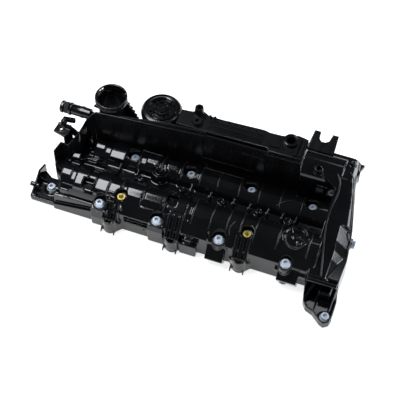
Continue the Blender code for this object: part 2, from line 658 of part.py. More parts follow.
def make_vacuum_nipple():
    """Small hose nipple that hangs in front of the breather pipe."""
    nipple = cylinder((-225.0, 77.0), 4.2, (36.0, 47.0), "Y", 20)
    union(nipple, box((-226.0, -209.0), (43.0, 46.5), (73.0, 80.0)))
    cut(nipple, cylinder((-225.0, 77.0), 2.4, (30.0, 45.0), "Y", 16))
    return finish(nipple, "vacuum_nipple", black_plastic("black_nipple", 0.3))


def make_pipe_bracket():
    """Flat lug with a hole, on two struts that stand on the tray."""
    lug = prism([(-236.0, 24.0), (-217.0, 19.0), (-217.0, 40.0), (-234.5, 41.0)], (66.0, 69.5))
    strut = [box((-219.0, -215.5), (20.0, 24.0), (TRAY_TOP + GAP, 68.0)),
             box((-219.0, -210.0), (33.0, 37.0), (TRAY_TOP + GAP, 68.0))]
    union(lug, *strut)
    cut(lug, cylinder((-226.5, 31.0), 2.6, (50.0, 90.0), segments=16))
    return finish(lug, "pipe_bracket", black_plastic("black_bracket", 0.35))


def make_cable_fork():
    """Two prongs that hold a cable above the right rear."""
    outline = [(127.0, 88.0), (166.0, 88.0), (165.5, 96.0), (164.0, 122.0), (155.5, 122.0),
               (153.5, 109.0), (149.0, 105.0), (143.5, 105.0), (139.5, 109.0), (138.0, 122.0),
               (129.0, 122.0), (127.5, 98.0)]
    fork = prism(outline, (108.0, 112.0))
    return finish(fork, "cable_fork", black_plastic("black_fork", 0.3))


# ---------------------------------------------------------------- seals
def make_perimeter_gasket():
    ring = gasket_ring(GROOVE_WIDTH - 2 * GAP, GROOVE_DEPTH - GAP, ORIGIN.z)
    return finish(ring, "perimeter_gasket", rubber("gasket_rubber"))


# ---------------------------------------------------------------- fasteners and inserts
def screw(position, seat, tip):
    """Flanged screw with a hexagon recess."""
    body = cylinder(position, 8.0, (seat, seat + 1.6), segments=16)
    union(body, cylinder(position, 6.2, (seat + 1.0, seat + 6.0), segments=16, top_radius=5.6),
          cylinder(position, SHAFT_RADIUS, (tip, seat + 1.0), segments=8))
    cut(body, cylinder(position, 2.9, (seat + 2.5, seat + 10.0), segments=6))
    return body


def make_screws():
    tall = [screw(p, HEAD_SEAT, 1.5) for p in CAM_SCREWS_FRONT + CAM_SCREWS_REAR]
    short = [screw(p, CORNER_SEAT, 0.5) for p in (CORNER_SCREW, EAR_SCREW)]
    return (finish_all(tall, "cover_screw", zinc("zinc_cover_screws"))
            + finish_all(short, "corner_screw", zinc("zinc_corner_screws")))


def make_side_screw():
    y, z = SIDE_SCREW
    body = cylinder((y, z), 6.0, (SIDE_FACE + GAP, SIDE_FACE + 4.5), "X", 16)
    union(body, cylinder((y, z), 2.6, (206.0, SIDE_FACE + 1.0), "X", 12))
    return finish(body, "side_screw", zinc("zinc_side_screw"))


def make_screw_sleeves():
    sleeves = []
    for p in CAM_SCREWS_FRONT + CAM_SCREWS_REAR:
        sleeve = cylinder(p, SLEEVE_RADIUS, (0.5, HEAD_SEAT - GAP), segments=16)
        bore = cylinder(p, SHAFT_RADIUS + GAP + 0.2, (-5.0, 60.0), segments=8)
        sleeves.append(cut(sleeve, bore))
    return finish_all(sleeves, "screw_sleeve", steel("sleeve_steel"))


def make_screw_grommets():
    rings = []
    for p in CAM_SCREWS_FRONT + CAM_SCREWS_REAR:
        ring = cylinder(p, 9.8, (TRAY_TOP + GAP, HEAD_SEAT - GAP), segments=16)
        rings.append(cut(ring, cylinder(p, SLEEVE_RADIUS + GAP, (20.0, 60.0), segments=16)))
    return finish_all(rings, "screw_grommet", rubber("grommet_rubber"))


def inserts(positions, top, name):
    """Threaded brass inserts with a flange on their bosses."""
    pieces = []
    for p in positions:
        piece = cylinder(p, INSERT_RADIUS, (top - INSERT_DEPTH, top + 0.6), segments=16)
        union(piece, cylinder(p, 5.8, (top + GAP, top + 1.4), segments=16))
        pieces.append(cut(piece, cylinder(p, 2.6, (top - 8.0, top + 10.0), segments=8)))
    return finish_all(pieces, name, brass(name + "_brass"))


# ---------------------------------------------------------------- assembly
def assemble():
    pieces = [make_cover_shell(), make_separator_housing(), make_separator_lid(), make_rear_post(),
              make_separator_baffle(), make_return_disc(), *make_cyclone_cones(),
              make_valve_cap(), make_valve_diaphragm(), make_valve_plate(), make_valve_spring(),
              make_filler_neck(), make_filler_neck_seal(), make_breather_pipe(),
              make_breather_pipe_seal(),
              make_vacuum_nipple(), make_pipe_bracket(), make_cable_fork(),
              make_perimeter_gasket(), *make_screws(), make_side_screw(),
              *make_screw_sleeves(), *make_screw_grommets(),
              *inserts(UPPER_INSERTS, UPPER_BOSS_TOP, "upper_insert"),
              *inserts(LOWER_INSERTS, LOWER_BOSS_TOP, "lower_insert")]
    empty = bpy.data.objects.new("cover_origin", None)
    cover.objects.link(empty)
    empty.location = -ORIGIN * MM
    for piece in pieces:
        piece.parent = empty


assemble()
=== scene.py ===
"""Looks of a moulded cylinder head cover with its oil separator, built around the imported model.

Shapes are made in the design frame, in millimetres: x along the crankshaft (0 between cylinders 2
and 3), y across the engine towards the separator, z up from the sealing face. TO_FRAME carries
them to the model's own frame, in metres.
"""
import math

import bmesh
import bpy
from mathutils import Matrix, Vector


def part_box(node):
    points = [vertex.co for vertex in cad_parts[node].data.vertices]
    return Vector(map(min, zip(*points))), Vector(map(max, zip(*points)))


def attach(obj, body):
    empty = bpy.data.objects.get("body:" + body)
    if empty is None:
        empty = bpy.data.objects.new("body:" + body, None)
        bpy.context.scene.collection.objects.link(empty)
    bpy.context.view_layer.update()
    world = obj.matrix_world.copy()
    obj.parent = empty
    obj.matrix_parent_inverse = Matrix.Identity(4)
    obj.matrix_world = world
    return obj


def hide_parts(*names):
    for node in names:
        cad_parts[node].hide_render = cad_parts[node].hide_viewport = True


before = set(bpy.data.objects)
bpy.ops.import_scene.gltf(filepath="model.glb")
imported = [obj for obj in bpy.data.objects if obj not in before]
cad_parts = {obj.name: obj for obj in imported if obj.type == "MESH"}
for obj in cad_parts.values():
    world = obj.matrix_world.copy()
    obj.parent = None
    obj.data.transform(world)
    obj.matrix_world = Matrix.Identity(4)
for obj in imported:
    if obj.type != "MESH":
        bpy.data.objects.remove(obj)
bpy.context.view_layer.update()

MM = 0.001
DESIGN_ZERO = Vector((0.010, -0.002, 0.001))
TO_FRAME = Matrix.Translation(DESIGN_ZERO) @ Matrix.Scale(MM, 4)
COVER = "cover"
ROUND = 96                      # sides of a large round shape
SMALL_ROUND = 40                # sides of a small round shape
METAL_GRAIN = 300.0             # scale of the noise on metal


def design_box(node):
    """Lowest and highest corner of a CAD node, in design millimetres."""
    return [(Vector(corner) - DESIGN_ZERO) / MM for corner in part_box(node)]


def design_centre(node):
    low, high = design_box(node)
    return (low + high) / 2


# ------------------------------------------------------------------ mesh helpers
def mesh_object(bm, name="shape"):
    mesh = bpy.data.meshes.new(name)
    bm.to_mesh(mesh)
    bm.free()
    obj = bpy.data.objects.new(name, mesh)
    bpy.context.scene.collection.objects.link(obj)
    return obj


def box(x, y, z, bevel=0.0):
    """Box between (low, high) pairs, with rounded edges if asked."""
    size = [high - low for low, high in (x, y, z)]
    middle = [(high + low) / 2 for low, high in (x, y, z)]
    bm = bmesh.new()
    bmesh.ops.create_cube(bm, size=1.0, matrix=Matrix.LocRotScale(middle, None, size))
    if bevel:
        bmesh.ops.bevel(bm, geom=bm.edges[:], offset=bevel, segments=2, affect="EDGES")
    return mesh_object(bm)


def cylinder(centre, radius, span, axis="Z", segments=SMALL_ROUND, top_radius=None):
    low, high = span
    turn = {"Z": Matrix.Identity(4),
            "X": Matrix.Rotation(math.pi / 2, 4, "Y"),
            "Y": Matrix.Rotation(-math.pi / 2, 4, "X")}[axis]
    middle = (low + high) / 2
    place = {"Z": (centre[0], centre[1], middle),
             "X": (middle, centre[0], centre[1]),
             "Y": (centre[0], middle, centre[1])}[axis]
    bm = bmesh.new()
    bmesh.ops.create_cone(bm, cap_ends=True, segments=segments, radius1=radius,
                          radius2=radius if top_radius is None else top_radius,
                          depth=high - low, matrix=Matrix.Translation(place) @ turn)
    return mesh_object(bm)


def prism(outline, span, axis="Z", bevel=0.0):
    """Extrude a closed outline along an axis; bevel rounds the edges of both ends."""
    matrix = {"Z": Matrix.Identity(4),
              "X": Matrix(((0, 0, 1, 0), (1, 0, 0, 0), (0, 1, 0, 0), (0, 0, 0, 1))),
              "Y": Matrix(((1, 0, 0, 0), (0, 0, -1, 0), (0, 1, 0, 0), (0, 0, 0, 1)))}[axis]
    sign = -1.0 if axis == "Y" else 1.0
    low, high = sorted(sign * side for side in span)
    bm = bmesh.new()
    face = bm.faces.new([bm.verts.new((u, v, low)) for u, v in outline])
    raised = bmesh.ops.extrude_face_region(bm, geom=[face])["geom"]
    tops = [item for item in raised if isinstance(item, bmesh.types.BMVert)]
    bmesh.ops.translate(bm, verts=tops, vec=(0, 0, high - low))
    bmesh.ops.recalc_face_normals(bm, faces=bm.faces)
    if bevel:
        caps = [edge for edge in bm.edges
                if abs(edge.verts[0].co.z - edge.verts[1].co.z) < 1e-6]
        bmesh.ops.bevel(bm, geom=caps, offset=bevel, segments=2, affect="EDGES",
                        clamp_overlap=True)
    bm.transform(matrix)
    return mesh_object(bm)


def turned(profile, centre, axis="Z"):
    """Revolve a closed (radius, height) profile about an axis through centre."""
    bm = bmesh.new()
    verts = [bm.verts.new((r, 0.0, z)) for r, z in profile]
    edges = [bm.edges.new(pair) for pair in zip(verts, verts[1:] + verts[:1])]
    bmesh.ops.spin(bm, geom=verts + edges, cent=(0, 0, 0), axis=(0, 0, 1), angle=2 * math.pi,
                   steps=ROUND, use_merge=True)
    bmesh.ops.remove_doubles(bm, verts=bm.verts, dist=1e-4)
    bmesh.ops.recalc_face_normals(bm, faces=bm.faces)
    turn = {"Z": Matrix.Identity(4), "X": Matrix.Rotation(math.pi / 2, 4, "Y"),
            "Y": Matrix.Rotation(-math.pi / 2, 4, "X")}[axis]
    bm.transform(Matrix.Translation(centre) @ turn)
    return mesh_object(bm)


def tube(points, radius, sides=6):
    """Round bar along a list of points."""
    curve = bpy.data.curves.new("path", "CURVE")
    curve.dimensions = "3D"
    curve.bevel_depth = radius
    curve.bevel_resolution = sides
    curve.use_fill_caps = True
    spline = curve.splines.new("POLY")
    spline.points.add(len(points) - 1)
    for point, co in zip(spline.points, points):
        point.co = (*co, 1.0)
    source = bpy.data.objects.new("path", curve)
    bpy.context.scene.collection.objects.link(source)
    bm = bmesh.new()
    bm.from_mesh(evaluated_mesh(source))
    bmesh.ops.remove_doubles(bm, verts=bm.verts, dist=1e-4)
    bmesh.ops.recalc_face_normals(bm, faces=bm.faces)
    bpy.data.objects.remove(source)
    return mesh_object(bm)


def evaluated_mesh(obj):
    depsgraph = bpy.context.evaluated_depsgraph_get()
    depsgraph.update()
    return bpy.data.meshes.new_from_object(obj.evaluated_get(depsgraph))


def bake(obj):
    """Apply the object's modifiers."""
    mesh = evaluated_mesh(obj)
    obj.modifiers.clear()
    obj.data = mesh
    return obj


def combine(target, tools, operation):
    for tool in tools:
        modifier = target.modifiers.new("combine", "BOOLEAN")
        modifier.operation = operation
        modifier.solver = "MANIFOLD"
        modifier.object = tool
    bake(target)
    for tool in tools:
        bpy.data.objects.remove(tool)
    return target


def union(target, *tools):
    return combine(target, tools, "UNION")


def cut(target, *tools):
    return combine(target, tools, "DIFFERENCE")


def moved(obj, matrix):
    obj.data.transform(matrix)
    return obj


def moulded(obj, voxel, rounds):
    """Fuse a solid into one skin whose edges and corners are softly rounded."""
    remesh = obj.modifiers.new("fuse", "REMESH")
    remesh.mode = "VOXEL"
    remesh.voxel_size = voxel
    smooth = obj.modifiers.new("soften", "SMOOTH")
    smooth.factor = 0.5
    smooth.iterations = rounds
    return bake(obj)


def inset(outline, distance):
    """Move each side of a counter-clockwise outline inwards by a distance."""
    points = [Vector(p) for p in outline]
    result = []
    for i, point in enumerate(points):
        before = (point - points[i - 1]).normalized()
        after = (points[(i + 1) % len(points)] - point).normalized()
        normal_before = Vector((-before.y, before.x))
        normal_after = Vector((-after.y, after.x))
        scale = distance / (1.0 + normal_before.dot(normal_after))
        result.append(tuple(point + (normal_before + normal_after) * scale))
    return result


def band(line, thickness):
    """Outline of a wall along an open line, on its left side."""
    points = [Vector(p) for p in line]
    other_side = []
    for i, point in enumerate(points):
        before = (point - points[max(i - 1, 0)]).normalized()
        after = (points[min(i + 1, len(points) - 1)] - point).normalized()
        along = (before + after).normalized()
        other_side.append(tuple(point + Vector((-along.y, along.x)) * thickness))
    return list(line) + other_side[::-1]


def piece(obj, name, mat, replaced=(), body=COVER, sharp=35.0):
    obj.name = name
    obj.data.name = name
    obj.data.transform(TO_FRAME)
    obj.data.materials.clear()
    obj.data.materials.append(mat)
    obj.data.shade_smooth()
    if sharp:
        obj.data.set_sharp_from_angle(angle=math.radians(sharp))
    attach(obj, body)
    if replaced:
        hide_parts(*replaced)


# ------------------------------------------------------------------ materials
def shader_of(name):
    mat = bpy.data.materials.new(name)
    mat.use_nodes = True
    return mat, mat.node_tree, mat.node_tree.nodes["Principled BSDF"]


def object_noise(tree, scale, detail=3.0):
    coords = tree.nodes.new("ShaderNodeTexCoord")
    noise = tree.nodes.new("ShaderNodeTexNoise")
    noise.inputs["Scale"].default_value = scale
    noise.inputs["Detail"].default_value = detail
    tree.links.new(coords.outputs["Object"], noise.inputs["Vector"])
    return noise.outputs["Fac"]


def ramp(tree, source, low, high):
    """Map a 0..1 value to a range; low and high are numbers or colours."""
    node = tree.nodes.new("ShaderNodeValToRGB")
    stops = node.color_ramp.elements
    stops[0].position, stops[1].position = 0.32, 0.68
    for stop, value in zip(stops, (low, high)):
        stop.color = (*value, 1.0) if isinstance(value, tuple) else (value, value, value, 1.0)
    tree.links.new(source, node.inputs["Fac"])
    return node.outputs["Color"]


def add_bump(tree, shader, source, strength, distance):
    bump = tree.nodes.new("ShaderNodeBump")
    bump.inputs["Strength"].default_value = strength
    bump.inputs["Distance"].default_value = distance
    tree.links.new(source, bump.inputs["Height"])
    tree.links.new(bump.outputs["Normal"], shader.inputs["Normal"])


def plastic(name, dark, light, gloss, grain=0.12):
    """Moulded polyamide: near black, slightly uneven in colour and sheen, faint orange peel."""
    mat, tree, shader = shader_of(name)
    tree.links.new(ramp(tree, object_noise(tree, 26.0, 6.0), dark, light),
                   shader.inputs["Base Color"])
    tree.links.new(ramp(tree, object_noise(tree, 45.0, 5.0), gloss, gloss + 0.035),
                   shader.inputs["Roughness"])
    add_bump(tree, shader, object_noise(tree, 420.0, 4.0), grain, 0.0002)
    shader.inputs["IOR"].default_value = 1.5
    return mat


def metal(name, dark, light, rough, metallic=0.85):
    """Plated or turned metal with a fine uneven sheen."""
    mat, tree, shader = shader_of(name)
    tree.links.new(ramp(tree, object_noise(tree, METAL_GRAIN, 5.0), dark, light),
                   shader.inputs["Base Color"])
    tree.links.new(ramp(tree, object_noise(tree, METAL_GRAIN * 2, 4.0), rough, rough + 0.16),
                   shader.inputs["Roughness"])
    shader.inputs["Metallic"].default_value = metallic
    add_bump(tree, shader, object_noise(tree, METAL_GRAIN * 4, 3.0), 0.15, 0.0001)
    return mat


def rubber(name):
    mat, tree, shader = shader_of(name)
    tree.links.new(ramp(tree, object_noise(tree, 90.0), (0.012, 0.012, 0.012), (0.03, 0.03, 0.03)),
                   shader.inputs["Base Color"])
    tree.links.new(ramp(tree, object_noise(tree, 160.0), 0.6, 0.85), shader.inputs["Roughness"])
    add_bump(tree, shader, object_noise(tree, 1800.0), 0.3, 0.0001)
    return mat


GLOSS_BLACK = plastic("moulding_black", (0.0032, 0.0034, 0.0039), (0.0065, 0.0068, 0.0075), 0.085)
SEPARATOR_BLACK = plastic("separator_black", (0.004, 0.0042, 0.0047), (0.008, 0.0082, 0.009), 0.2)
SATIN_BLACK = plastic("fittings_black", (0.0035, 0.0036, 0.004), (0.008, 0.0082, 0.009), 0.14, 0.2)
BEAD_BLACK = plastic("bead_black", (0.006, 0.0062, 0.0068), (0.011, 0.0113, 0.012), 0.27, 0.05)
ZINC = metal("zinc_plate", (0.5, 0.57, 0.66), (0.68, 0.75, 0.84), 0.36, 0.4)
STEEL = metal("bright_steel", (0.5, 0.5, 0.52), (0.66, 0.66, 0.68), 0.3)
BRASS = metal("turned_brass", (0.7, 0.55, 0.13), (0.86, 0.72, 0.26), 0.28, 0.55)
RUBBER = rubber("black_rubber")
GREY_PLASTIC = plastic("valve_plate_grey", (0.22, 0.22, 0.23), (0.3, 0.3, 0.31), 0.4)


# ------------------------------------------------------------------ sizes shared by the shapes
WALL = 3.0
GAP = 0.35
TRAY_TOP = 38.0
PLATFORM_Z = 38.1
FRONT_Y, BACK_Y = -60.0, 100.0
FRONT_HUMP = (-27.0, 34.0, 27.0)   # y, z and radius
REAR_HUMP = (34.0, 36.0, 21.0)
HUMP_RIGHT = 187.0
WALL_LEFT = (-177.0, 46.0)
WALL_RIGHT = (-14.0, 59.0)
PLATE = 2.5
SEPARATOR_TOP = 112.0
TOWERS = (-114.0, -19.0, 82.0)
BARREL_RIGHT = 186.0

COVER_SCREWS = [design_centre(f"cover_screw_{i + 1}") for i in range(8)]
CORNER_SCREWS = [design_centre(f"corner_screw_{i + 1}") for i in range(2)]
UPPER_INSERTS = [design_centre(f"upper_insert_{i + 1}") for i in range(2)]
LOWER_INSERTS = [design_centre(f"lower_insert_{i + 1}") for i in range(2)]
VALVE = design_centre("valve_plate")
NECK = design_centre("filler_neck_seal")
PIPE = design_centre("breather_pipe_seal")
DRAIN = design_centre("return_disc")
PIPE_FOOT_X = -184.5
LID_TOP = 115.2

ARCH_EDGE = [(225.0, -62.0), (226.0, -25.0), (222.0, 8.0), (216.0, 30.0), (208.0, 60.0)]
TRAY = [(-205.0, FRONT_Y), *ARCH_EDGE, (205.0, BACK_Y), (-185.0, BACK_Y),
        (-205.0, 66.0), (-222.0, 30.0), (-222.0, -10.0), (-205.0, -18.0)]
ARCH_SIDE = [(-63.0, 5.0), (120.0, 5.0), (120.0, 103.0), (60.0, 103.0), (45.0, 96.0),
             (28.0, 85.0), (8.0, 69.0), (-12.0, 59.0), (-36.0, 48.0), (-63.0, 39.0)]
EAR = [(178.0, -52.0), (178.0, -64.0), (184.0, -92.0), (190.0, -100.0), (201.0, -104.0),
       (214.0, -115.0), (221.0, -118.0), (228.0, -113.0), (229.5, -100.0), (229.0, -80.0),
       (224.0, -52.0)]


# ------------------------------------------------------------------ the main moulding
def hump_bar(data, radius, span):
    y, z = data[:2]
    return cylinder((y, z), radius, span, "X", ROUND)


# Raised crowns of the humps: first and last x, radius of curvature and half width across.
FRONT_CROWNS = [(-199.0, -184.0, 17.0, 15.0), (-176.0, -159.5, 36.0, 21.0),
                (-157.0, -146.5, 20.0, 17.0), (-144.5, -126.0, 34.0, 21.0),
                (-98.0, -75.0, 24.0, 20.0), (-71.0, -44.0, 22.0, 20.0), (-36.0, -8.0, 27.0, 22.0)]
REAR_CROWNS = [(-172.0, -157.0, 13.0, 11.0), (-147.0, -124.0, 31.0, 15.0),
               (-121.0, -111.0, 20.0, 14.0), (-92.0, -74.0, 14.0, 10.0),
               (-61.0, -45.0, 15.0, 12.0)]
FRONT_RINGS = (-107.0, -39.5, 3.0, 30.0, 54.0, 73.0, 94.0, 128.0, 172.0)
REAR_RINGS = (-103.0, -68.0, -38.0, -9.0, 18.0, 50.0, 80.0, 111.0, 143.0)
PLAIN_LEFT = (0.0, -12.0)      # from here to the right each hump has no crowns
SLIM = 2.2                     # how much slimmer the bar is between the crowns
RIB_DROP = 0.3                 # how far a rib's top is under the hump's full radius
HUMP_WINDOWS = [(-164.0, -148.0, -47.0, -31.0), (-41.0, -24.0, -36.0, -17.0)]


def crown(data, low, high, radius, half):
    y, top = data[0], data[1] + data[2]
    block = cylinder((y, top - radius), radius, (low, high), "X", ROUND)
    return combine(block, [box((low - 1.0, high + 1.0), (y - half, y + half), (30.0, 90.0))],
                   "INTERSECT")


def humps():
    """Both camshaft humps: a bar, slimmer at the left, with raised crowns and ribs across it."""
    shapes = [hump_bar(FRONT_HUMP, FRONT_HUMP[2] - SLIM, (-197.0, PLAIN_LEFT[0] + 1.0)),
              hump_bar(REAR_HUMP, REAR_HUMP[2] - SLIM, (-172.0, PLAIN_LEFT[1] + 1.0)),
              hump_bar(FRONT_HUMP, FRONT_HUMP[2] - RIB_DROP, (PLAIN_LEFT[0], HUMP_RIGHT)),
              hump_bar(REAR_HUMP, REAR_HUMP[2] - RIB_DROP, (PLAIN_LEFT[1], HUMP_RIGHT))]
    for data, crowns, rings in ((FRONT_HUMP, FRONT_CROWNS, FRONT_RINGS),
                                (REAR_HUMP, REAR_CROWNS, REAR_RINGS)):
        shapes += [crown(data, *entry) for entry in crowns]
        shapes += [hump_bar(data, data[2] - RIB_DROP, (x - 1.3, x + 1.3)) for x in rings]
    return shapes


def hump_ring(data, x):
    """Round bead along the top of a rib across a hump."""
    radius = data[2] - 0.5
    arc = []
    for step in range(13):
        angle = math.radians(25.0 + 10.0 * step)
        arc.append((x, data[0] + radius * math.cos(angle), data[1] + radius * math.sin(angle)))
    return tube(arc, 1.3, sides=16)


def pocket_tools():
    """What is cleared above the screws, above the upper inserts and at the hump windows."""
    tools = [cylinder(p, 10.6, (TRAY_TOP, 90.0)) for p in COVER_SCREWS]
    tools += [cylinder(p, 9.0, (49.5, 90.0)) for p in UPPER_INSERTS]
    tools += [box((low, high), (front, back), (50.0, 90.0))
              for low, high, front, back in HUMP_WINDOWS]
    return tools


def front_apron():
    """Slope from the front edge of the tray up to the front hump, in two lengths."""
    side = [(-59.6, 30.0), (-59.6, 37.9), (-47.5, 51.0), (-40.0, 51.0), (-40.0, 30.0)]
    return [prism(side, (-100.0, 30.0), "X"), prism(side, (33.0, 186.0), "X")]


def left_step():
    """What is cut from the tray at its left front: a low ledge, then a step in front of the hump."""
    ledge = [(-215.0, 10.0), (-143.5, 22.0), (-143.5, 60.0), (-215.0, 60.0)]
    upper = [(-215.0, 30.0), (-143.5, 30.0), (-143.5, 60.0), (-215.0, 60.0)]
    return [prism(ledge, (-75.0, -56.0), "Y"), prism(upper, (-75.0, -50.5), "Y")]


def spoked_boss():
    """Round boss at the right of the front hump with a raised rim, a hub and spokes."""
    x, y, top = 151.0, -26.0, 61.5
    shape = cylinder((x, y), 19.0, (30.0, top), segments=ROUND, top_radius=17.5)
    cut(shape, turned([(5.0, top + 5.0), (5.0, top - 4.0), (15.5, top - 4.0), (15.5, top + 5.0)],
                      (x, y, 0.0)))
    spokes = []
    for turn in (-60.0, -35.0, -10.0, 15.0, 40.0, 130.0, 200.0):
        spoke = box((4.0, 16.5), (-1.2, 1.2), (top - 6.0, top - 1.2), 0.5)
        place = Matrix.Translation((x, y, 0.0)) @ Matrix.Rotation(math.radians(turn), 4, "Z")
        spokes.append(moved(spoke, place))
    return union(shape, *spokes)


def platform(grow):
    """Outline of the raised seat of the separator, grown by a distance."""
    left, right = WALL_LEFT[0] - 1.5, 127.0
    outline = [(left, WALL_LEFT[1]), WALL_RIGHT, (right, 61.0), (right, 98.4), (left, 98.4)]
    return inset(outline, -grow)


def arch_height(y):
    """Height of the arch's top above the sealing face at a place across the engine."""
    line = ARCH_SIDE[2:][::-1]
    for (y0, z0), (y1, z1) in zip(line, line[1:]):
        if y <= y1:
            return z0 + (z1 - z0) * (y - y0) / (y1 - y0)
    return line[-1][1]


def arch_edge(y):
    """x of the arch's outer side at a place across the engine."""
    line = [(225.0, -70.0), *ARCH_EDGE, (205.0, 110.0)]
    for (x0, y0), (x1, y1) in zip(line, line[1:]):
        if y <= y1:
            return x0 + (x1 - x0) * (y - y0) / (y1 - y0)
    return line[-1][0]


def arch(shrink=0.0):
    """Arch over the timing end: its outer shoulder is flat in front and rounded behind."""
    front, back = -64.0 + shrink, 99.7 - shrink
    foot = -10.0 if shrink else 0.2         # the hollow runs out below the tray
    inner = [(front, 180.0), (46.0, 182.0), (58.0, 160.0), (back, 160.0)]
    places = sorted({front, back, -36.0, -25.0, -12.0, 8.0, 9.5, 28.0, 30.0, 45.0, 46.0, 58.0,
                     60.0})
    bm = bmesh.new()
    rings = []
    for y in places:
        inside = next(x0 + (x1 - x0) * (y - y0) / (y1 - y0)
                      for (y0, x0), (y1, x1) in zip(inner, inner[1:]) if y <= y1) + shrink
        outside, height = arch_edge(y) - 0.2 - shrink, arch_height(y) - shrink
        radius = (20.0 if y < 0.0 else 20.0 - 7.0 * min(y / 40.0, 1.0)) - shrink
        section = [(inside, foot), (inside, height)]
        for step in range(7):
            angle = math.pi / 2 * (1.0 - step / 6)
            if y < 9.0:
                out, up = step / 6, 1.0 - step / 6
            else:
                out, up = math.cos(angle), math.sin(angle)
            section.append((outside - radius + radius * out, height - radius + radius * up))
        section.append((outside, foot))
        rings.append([bm.verts.new((x, y, z)) for x, z in section])
    for here, there in zip(rings, rings[1:]):
        for i in range(len(here)):
            j = (i + 1) % len(here)
            bm.faces.new((here[i], here[j], there[j], there[i]))
    bm.faces.new(rings[0])
    bm.faces.new(rings[-1])
    bmesh.ops.recalc_face_normals(bm, faces=bm.faces)
    bmesh.ops.triangulate(bm, faces=bm.faces)
    return mesh_object(bm)


def barrel(shrink=0.0):
    return cylinder((78.0, 84.0), 25.0 - shrink, (128.5 + shrink, BARREL_RIGHT - shrink), "X", ROUND)


def barrel_base(shrink=0.0):
    return box((129.0 + shrink, 176.0), (56.0 + shrink, 99.5 - shrink), (20.0, 84.0))


def front_tower(x):
    """Round lower boss with skirts, and a ribbed ramp that rises from it to the hump."""
    side = [(-58.0, 0.5), (-66.0, 20.0), (-70.0, 26.0), (-70.0, 29.0), (-48.0, 56.0),
            (-42.0, 56.0), (-30.0, 48.5), (-30.0, 0.5)]
    shape = prism(side, (x - 10.5, x + 10.5), "X")
    skirt = [(x - 18.0, -59.0), (x - 9.0, -69.5), (x + 9.0, -69.5), (x + 18.0, -59.0)]
    union(shape, cylinder((x, -62.0), 12.0, (0.1, 20.0), segments=ROUND),
          cylinder((x, -64.4), 10.8, (8.0, 26.4), segments=ROUND), prism(skirt, (0.2, 17.0)))
    groove = [(-80.0, 27.4), (-67.0, 27.4), (-46.5, 51.5), (-46.5, 70.0), (-80.0, 70.0)]
    cut(shape, *[prism(groove, (x + off - 1.6, x + off + 1.6), "X") for off in (-4.4, 4.4)],
        cylinder((x, -67.7), 5.9, (20.0, 26.4)))
    return union(shape, *[prism([(-58.0, 0.5), (-76.0, 0.5), (-72.0, 7.0), (-58.0, 12.0)],
                                (x + off - 0.9, x + off + 0.9), "X") for off in (-11.0, 8.5)])


def screw_bosses():
    """Bosses with a sloped face under the two right front screws."""
    left = [(-50.0, 0.3), (-66.0, 0.3), (-75.5, 14.0), (-75.5, 15.5), (-57.0, 37.6), (-50.0, 37.6)]
    right = [(-50.0, 0.3), (-68.0, 0.3), (-76.0, 17.0), (-76.0, 18.5), (-58.0, 37.6), (-50.0, 37.6)]
    wings = [(-50.0, 9.0), (-58.0, 9.0), (-66.0, 25.0), (-66.0, 26.5), (-57.0, 37.6), (-50.0, 37.6)]
    return [prism(left, (33.0, 59.5), "X"), prism(right, (139.0, 168.0), "X"),
            prism(wings, (133.0, 179.0), "X")]


def left_end_wall():
    """Thin wall round the left end, whose top edge falls towards the front."""
    line = [(-221.0, -7.0), (-217.5, 7.5), (-203.0, 4.0), (-193.0, 22.0), (-191.0, 40.0),
            (WALL_LEFT[0] - 1.0, 45.6)]
    body = prism(band(line, PLATE), (22.0, 110.0))
    slope = [(-150.0, 120.0), (-240.0, 120.0), (-240.0, 52.0), (-217.0, 69.0), (-203.0, 74.0),
             (-193.0, 86.0), (-189.0, 96.0), (-179.0, 108.5), (-150.0, 108.5)]
    cut(body, prism(slope, (-20.0, 80.0), "Y"))
    return union(body, cylinder((-178.6, 46.6), 1.7, (30.0, 108.0)))


def corner():
    """Flange at the left front with a screw pad, a peg and two upright webs."""
    plate = prism([(-243.0, -56.5), (-198.0, -57.5), (-198.0, -14.0), (-228.0, -14.0),
                   (-243.0, -4.0)], (0.0, 6.0))
    web = prism([(-56.0, 1.0), (-3.0, 1.0), (-3.0, 19.0), (-21.0, 27.0), (-30.0, 21.0),
                 (-56.0, 8.0)], (-244.0, -241.0), "X")
    return union(plate, web, cylinder((-39.0, 14.0), 3.6, (-250.0, -242.0), "X"),
                 cylinder((-39.0, 14.0), 2.6, (-244.0, -236.0), "X"),
                 cylinder(CORNER_SCREWS[0], 9.6, (0.5, 8.6)),
                 box((-242.0, -236.0), (-57.0, -50.0), (0.2, 9.0)),
                 box((-242.0, -205.0), (-57.4, -55.4), (0.5, 9.0)),
                 prism([(-243.0, 2.0), (-243.0, 17.0), (-228.0, 8.0), (-215.0, 2.0)],
                       (-26.0, -24.2), "Y"))


def ear():
    """Foot at the right front: a floor with a raised rim, a side web and a square block."""
    plate = prism(EAR, (0.2, 13.0))
    cut(plate, prism(inset(EAR, 2.4), (6.0, 30.0)))
    wall = prism([(-103.0, 3.0), (-103.0, 12.0), (-66.0, 34.0), (-50.0, 36.0), (-50.0, 3.0)],
                 (178.6, 182.4), "X")
    block = box((201.0, 219.0), (-80.0, -50.0), (3.0, 25.0), 1.5)
    cut(block, box((203.5, 216.5), (-77.5, -66.0), (10.0, 40.0)))
    rim = [box((222.0, 224.4), (-100.0, -55.0), (5.0, 18.0)),
           cylinder((-67.0, 31.0), 4.0, (181.0, 224.0), "X")]
    both = combine(wall, [prism(EAR, (0.2, 60.0))], "INTERSECT")
    return union(plate, both, block, *rim, cylinder(CORNER_SCREWS[1], 9.6, (0.5, 8.6)))


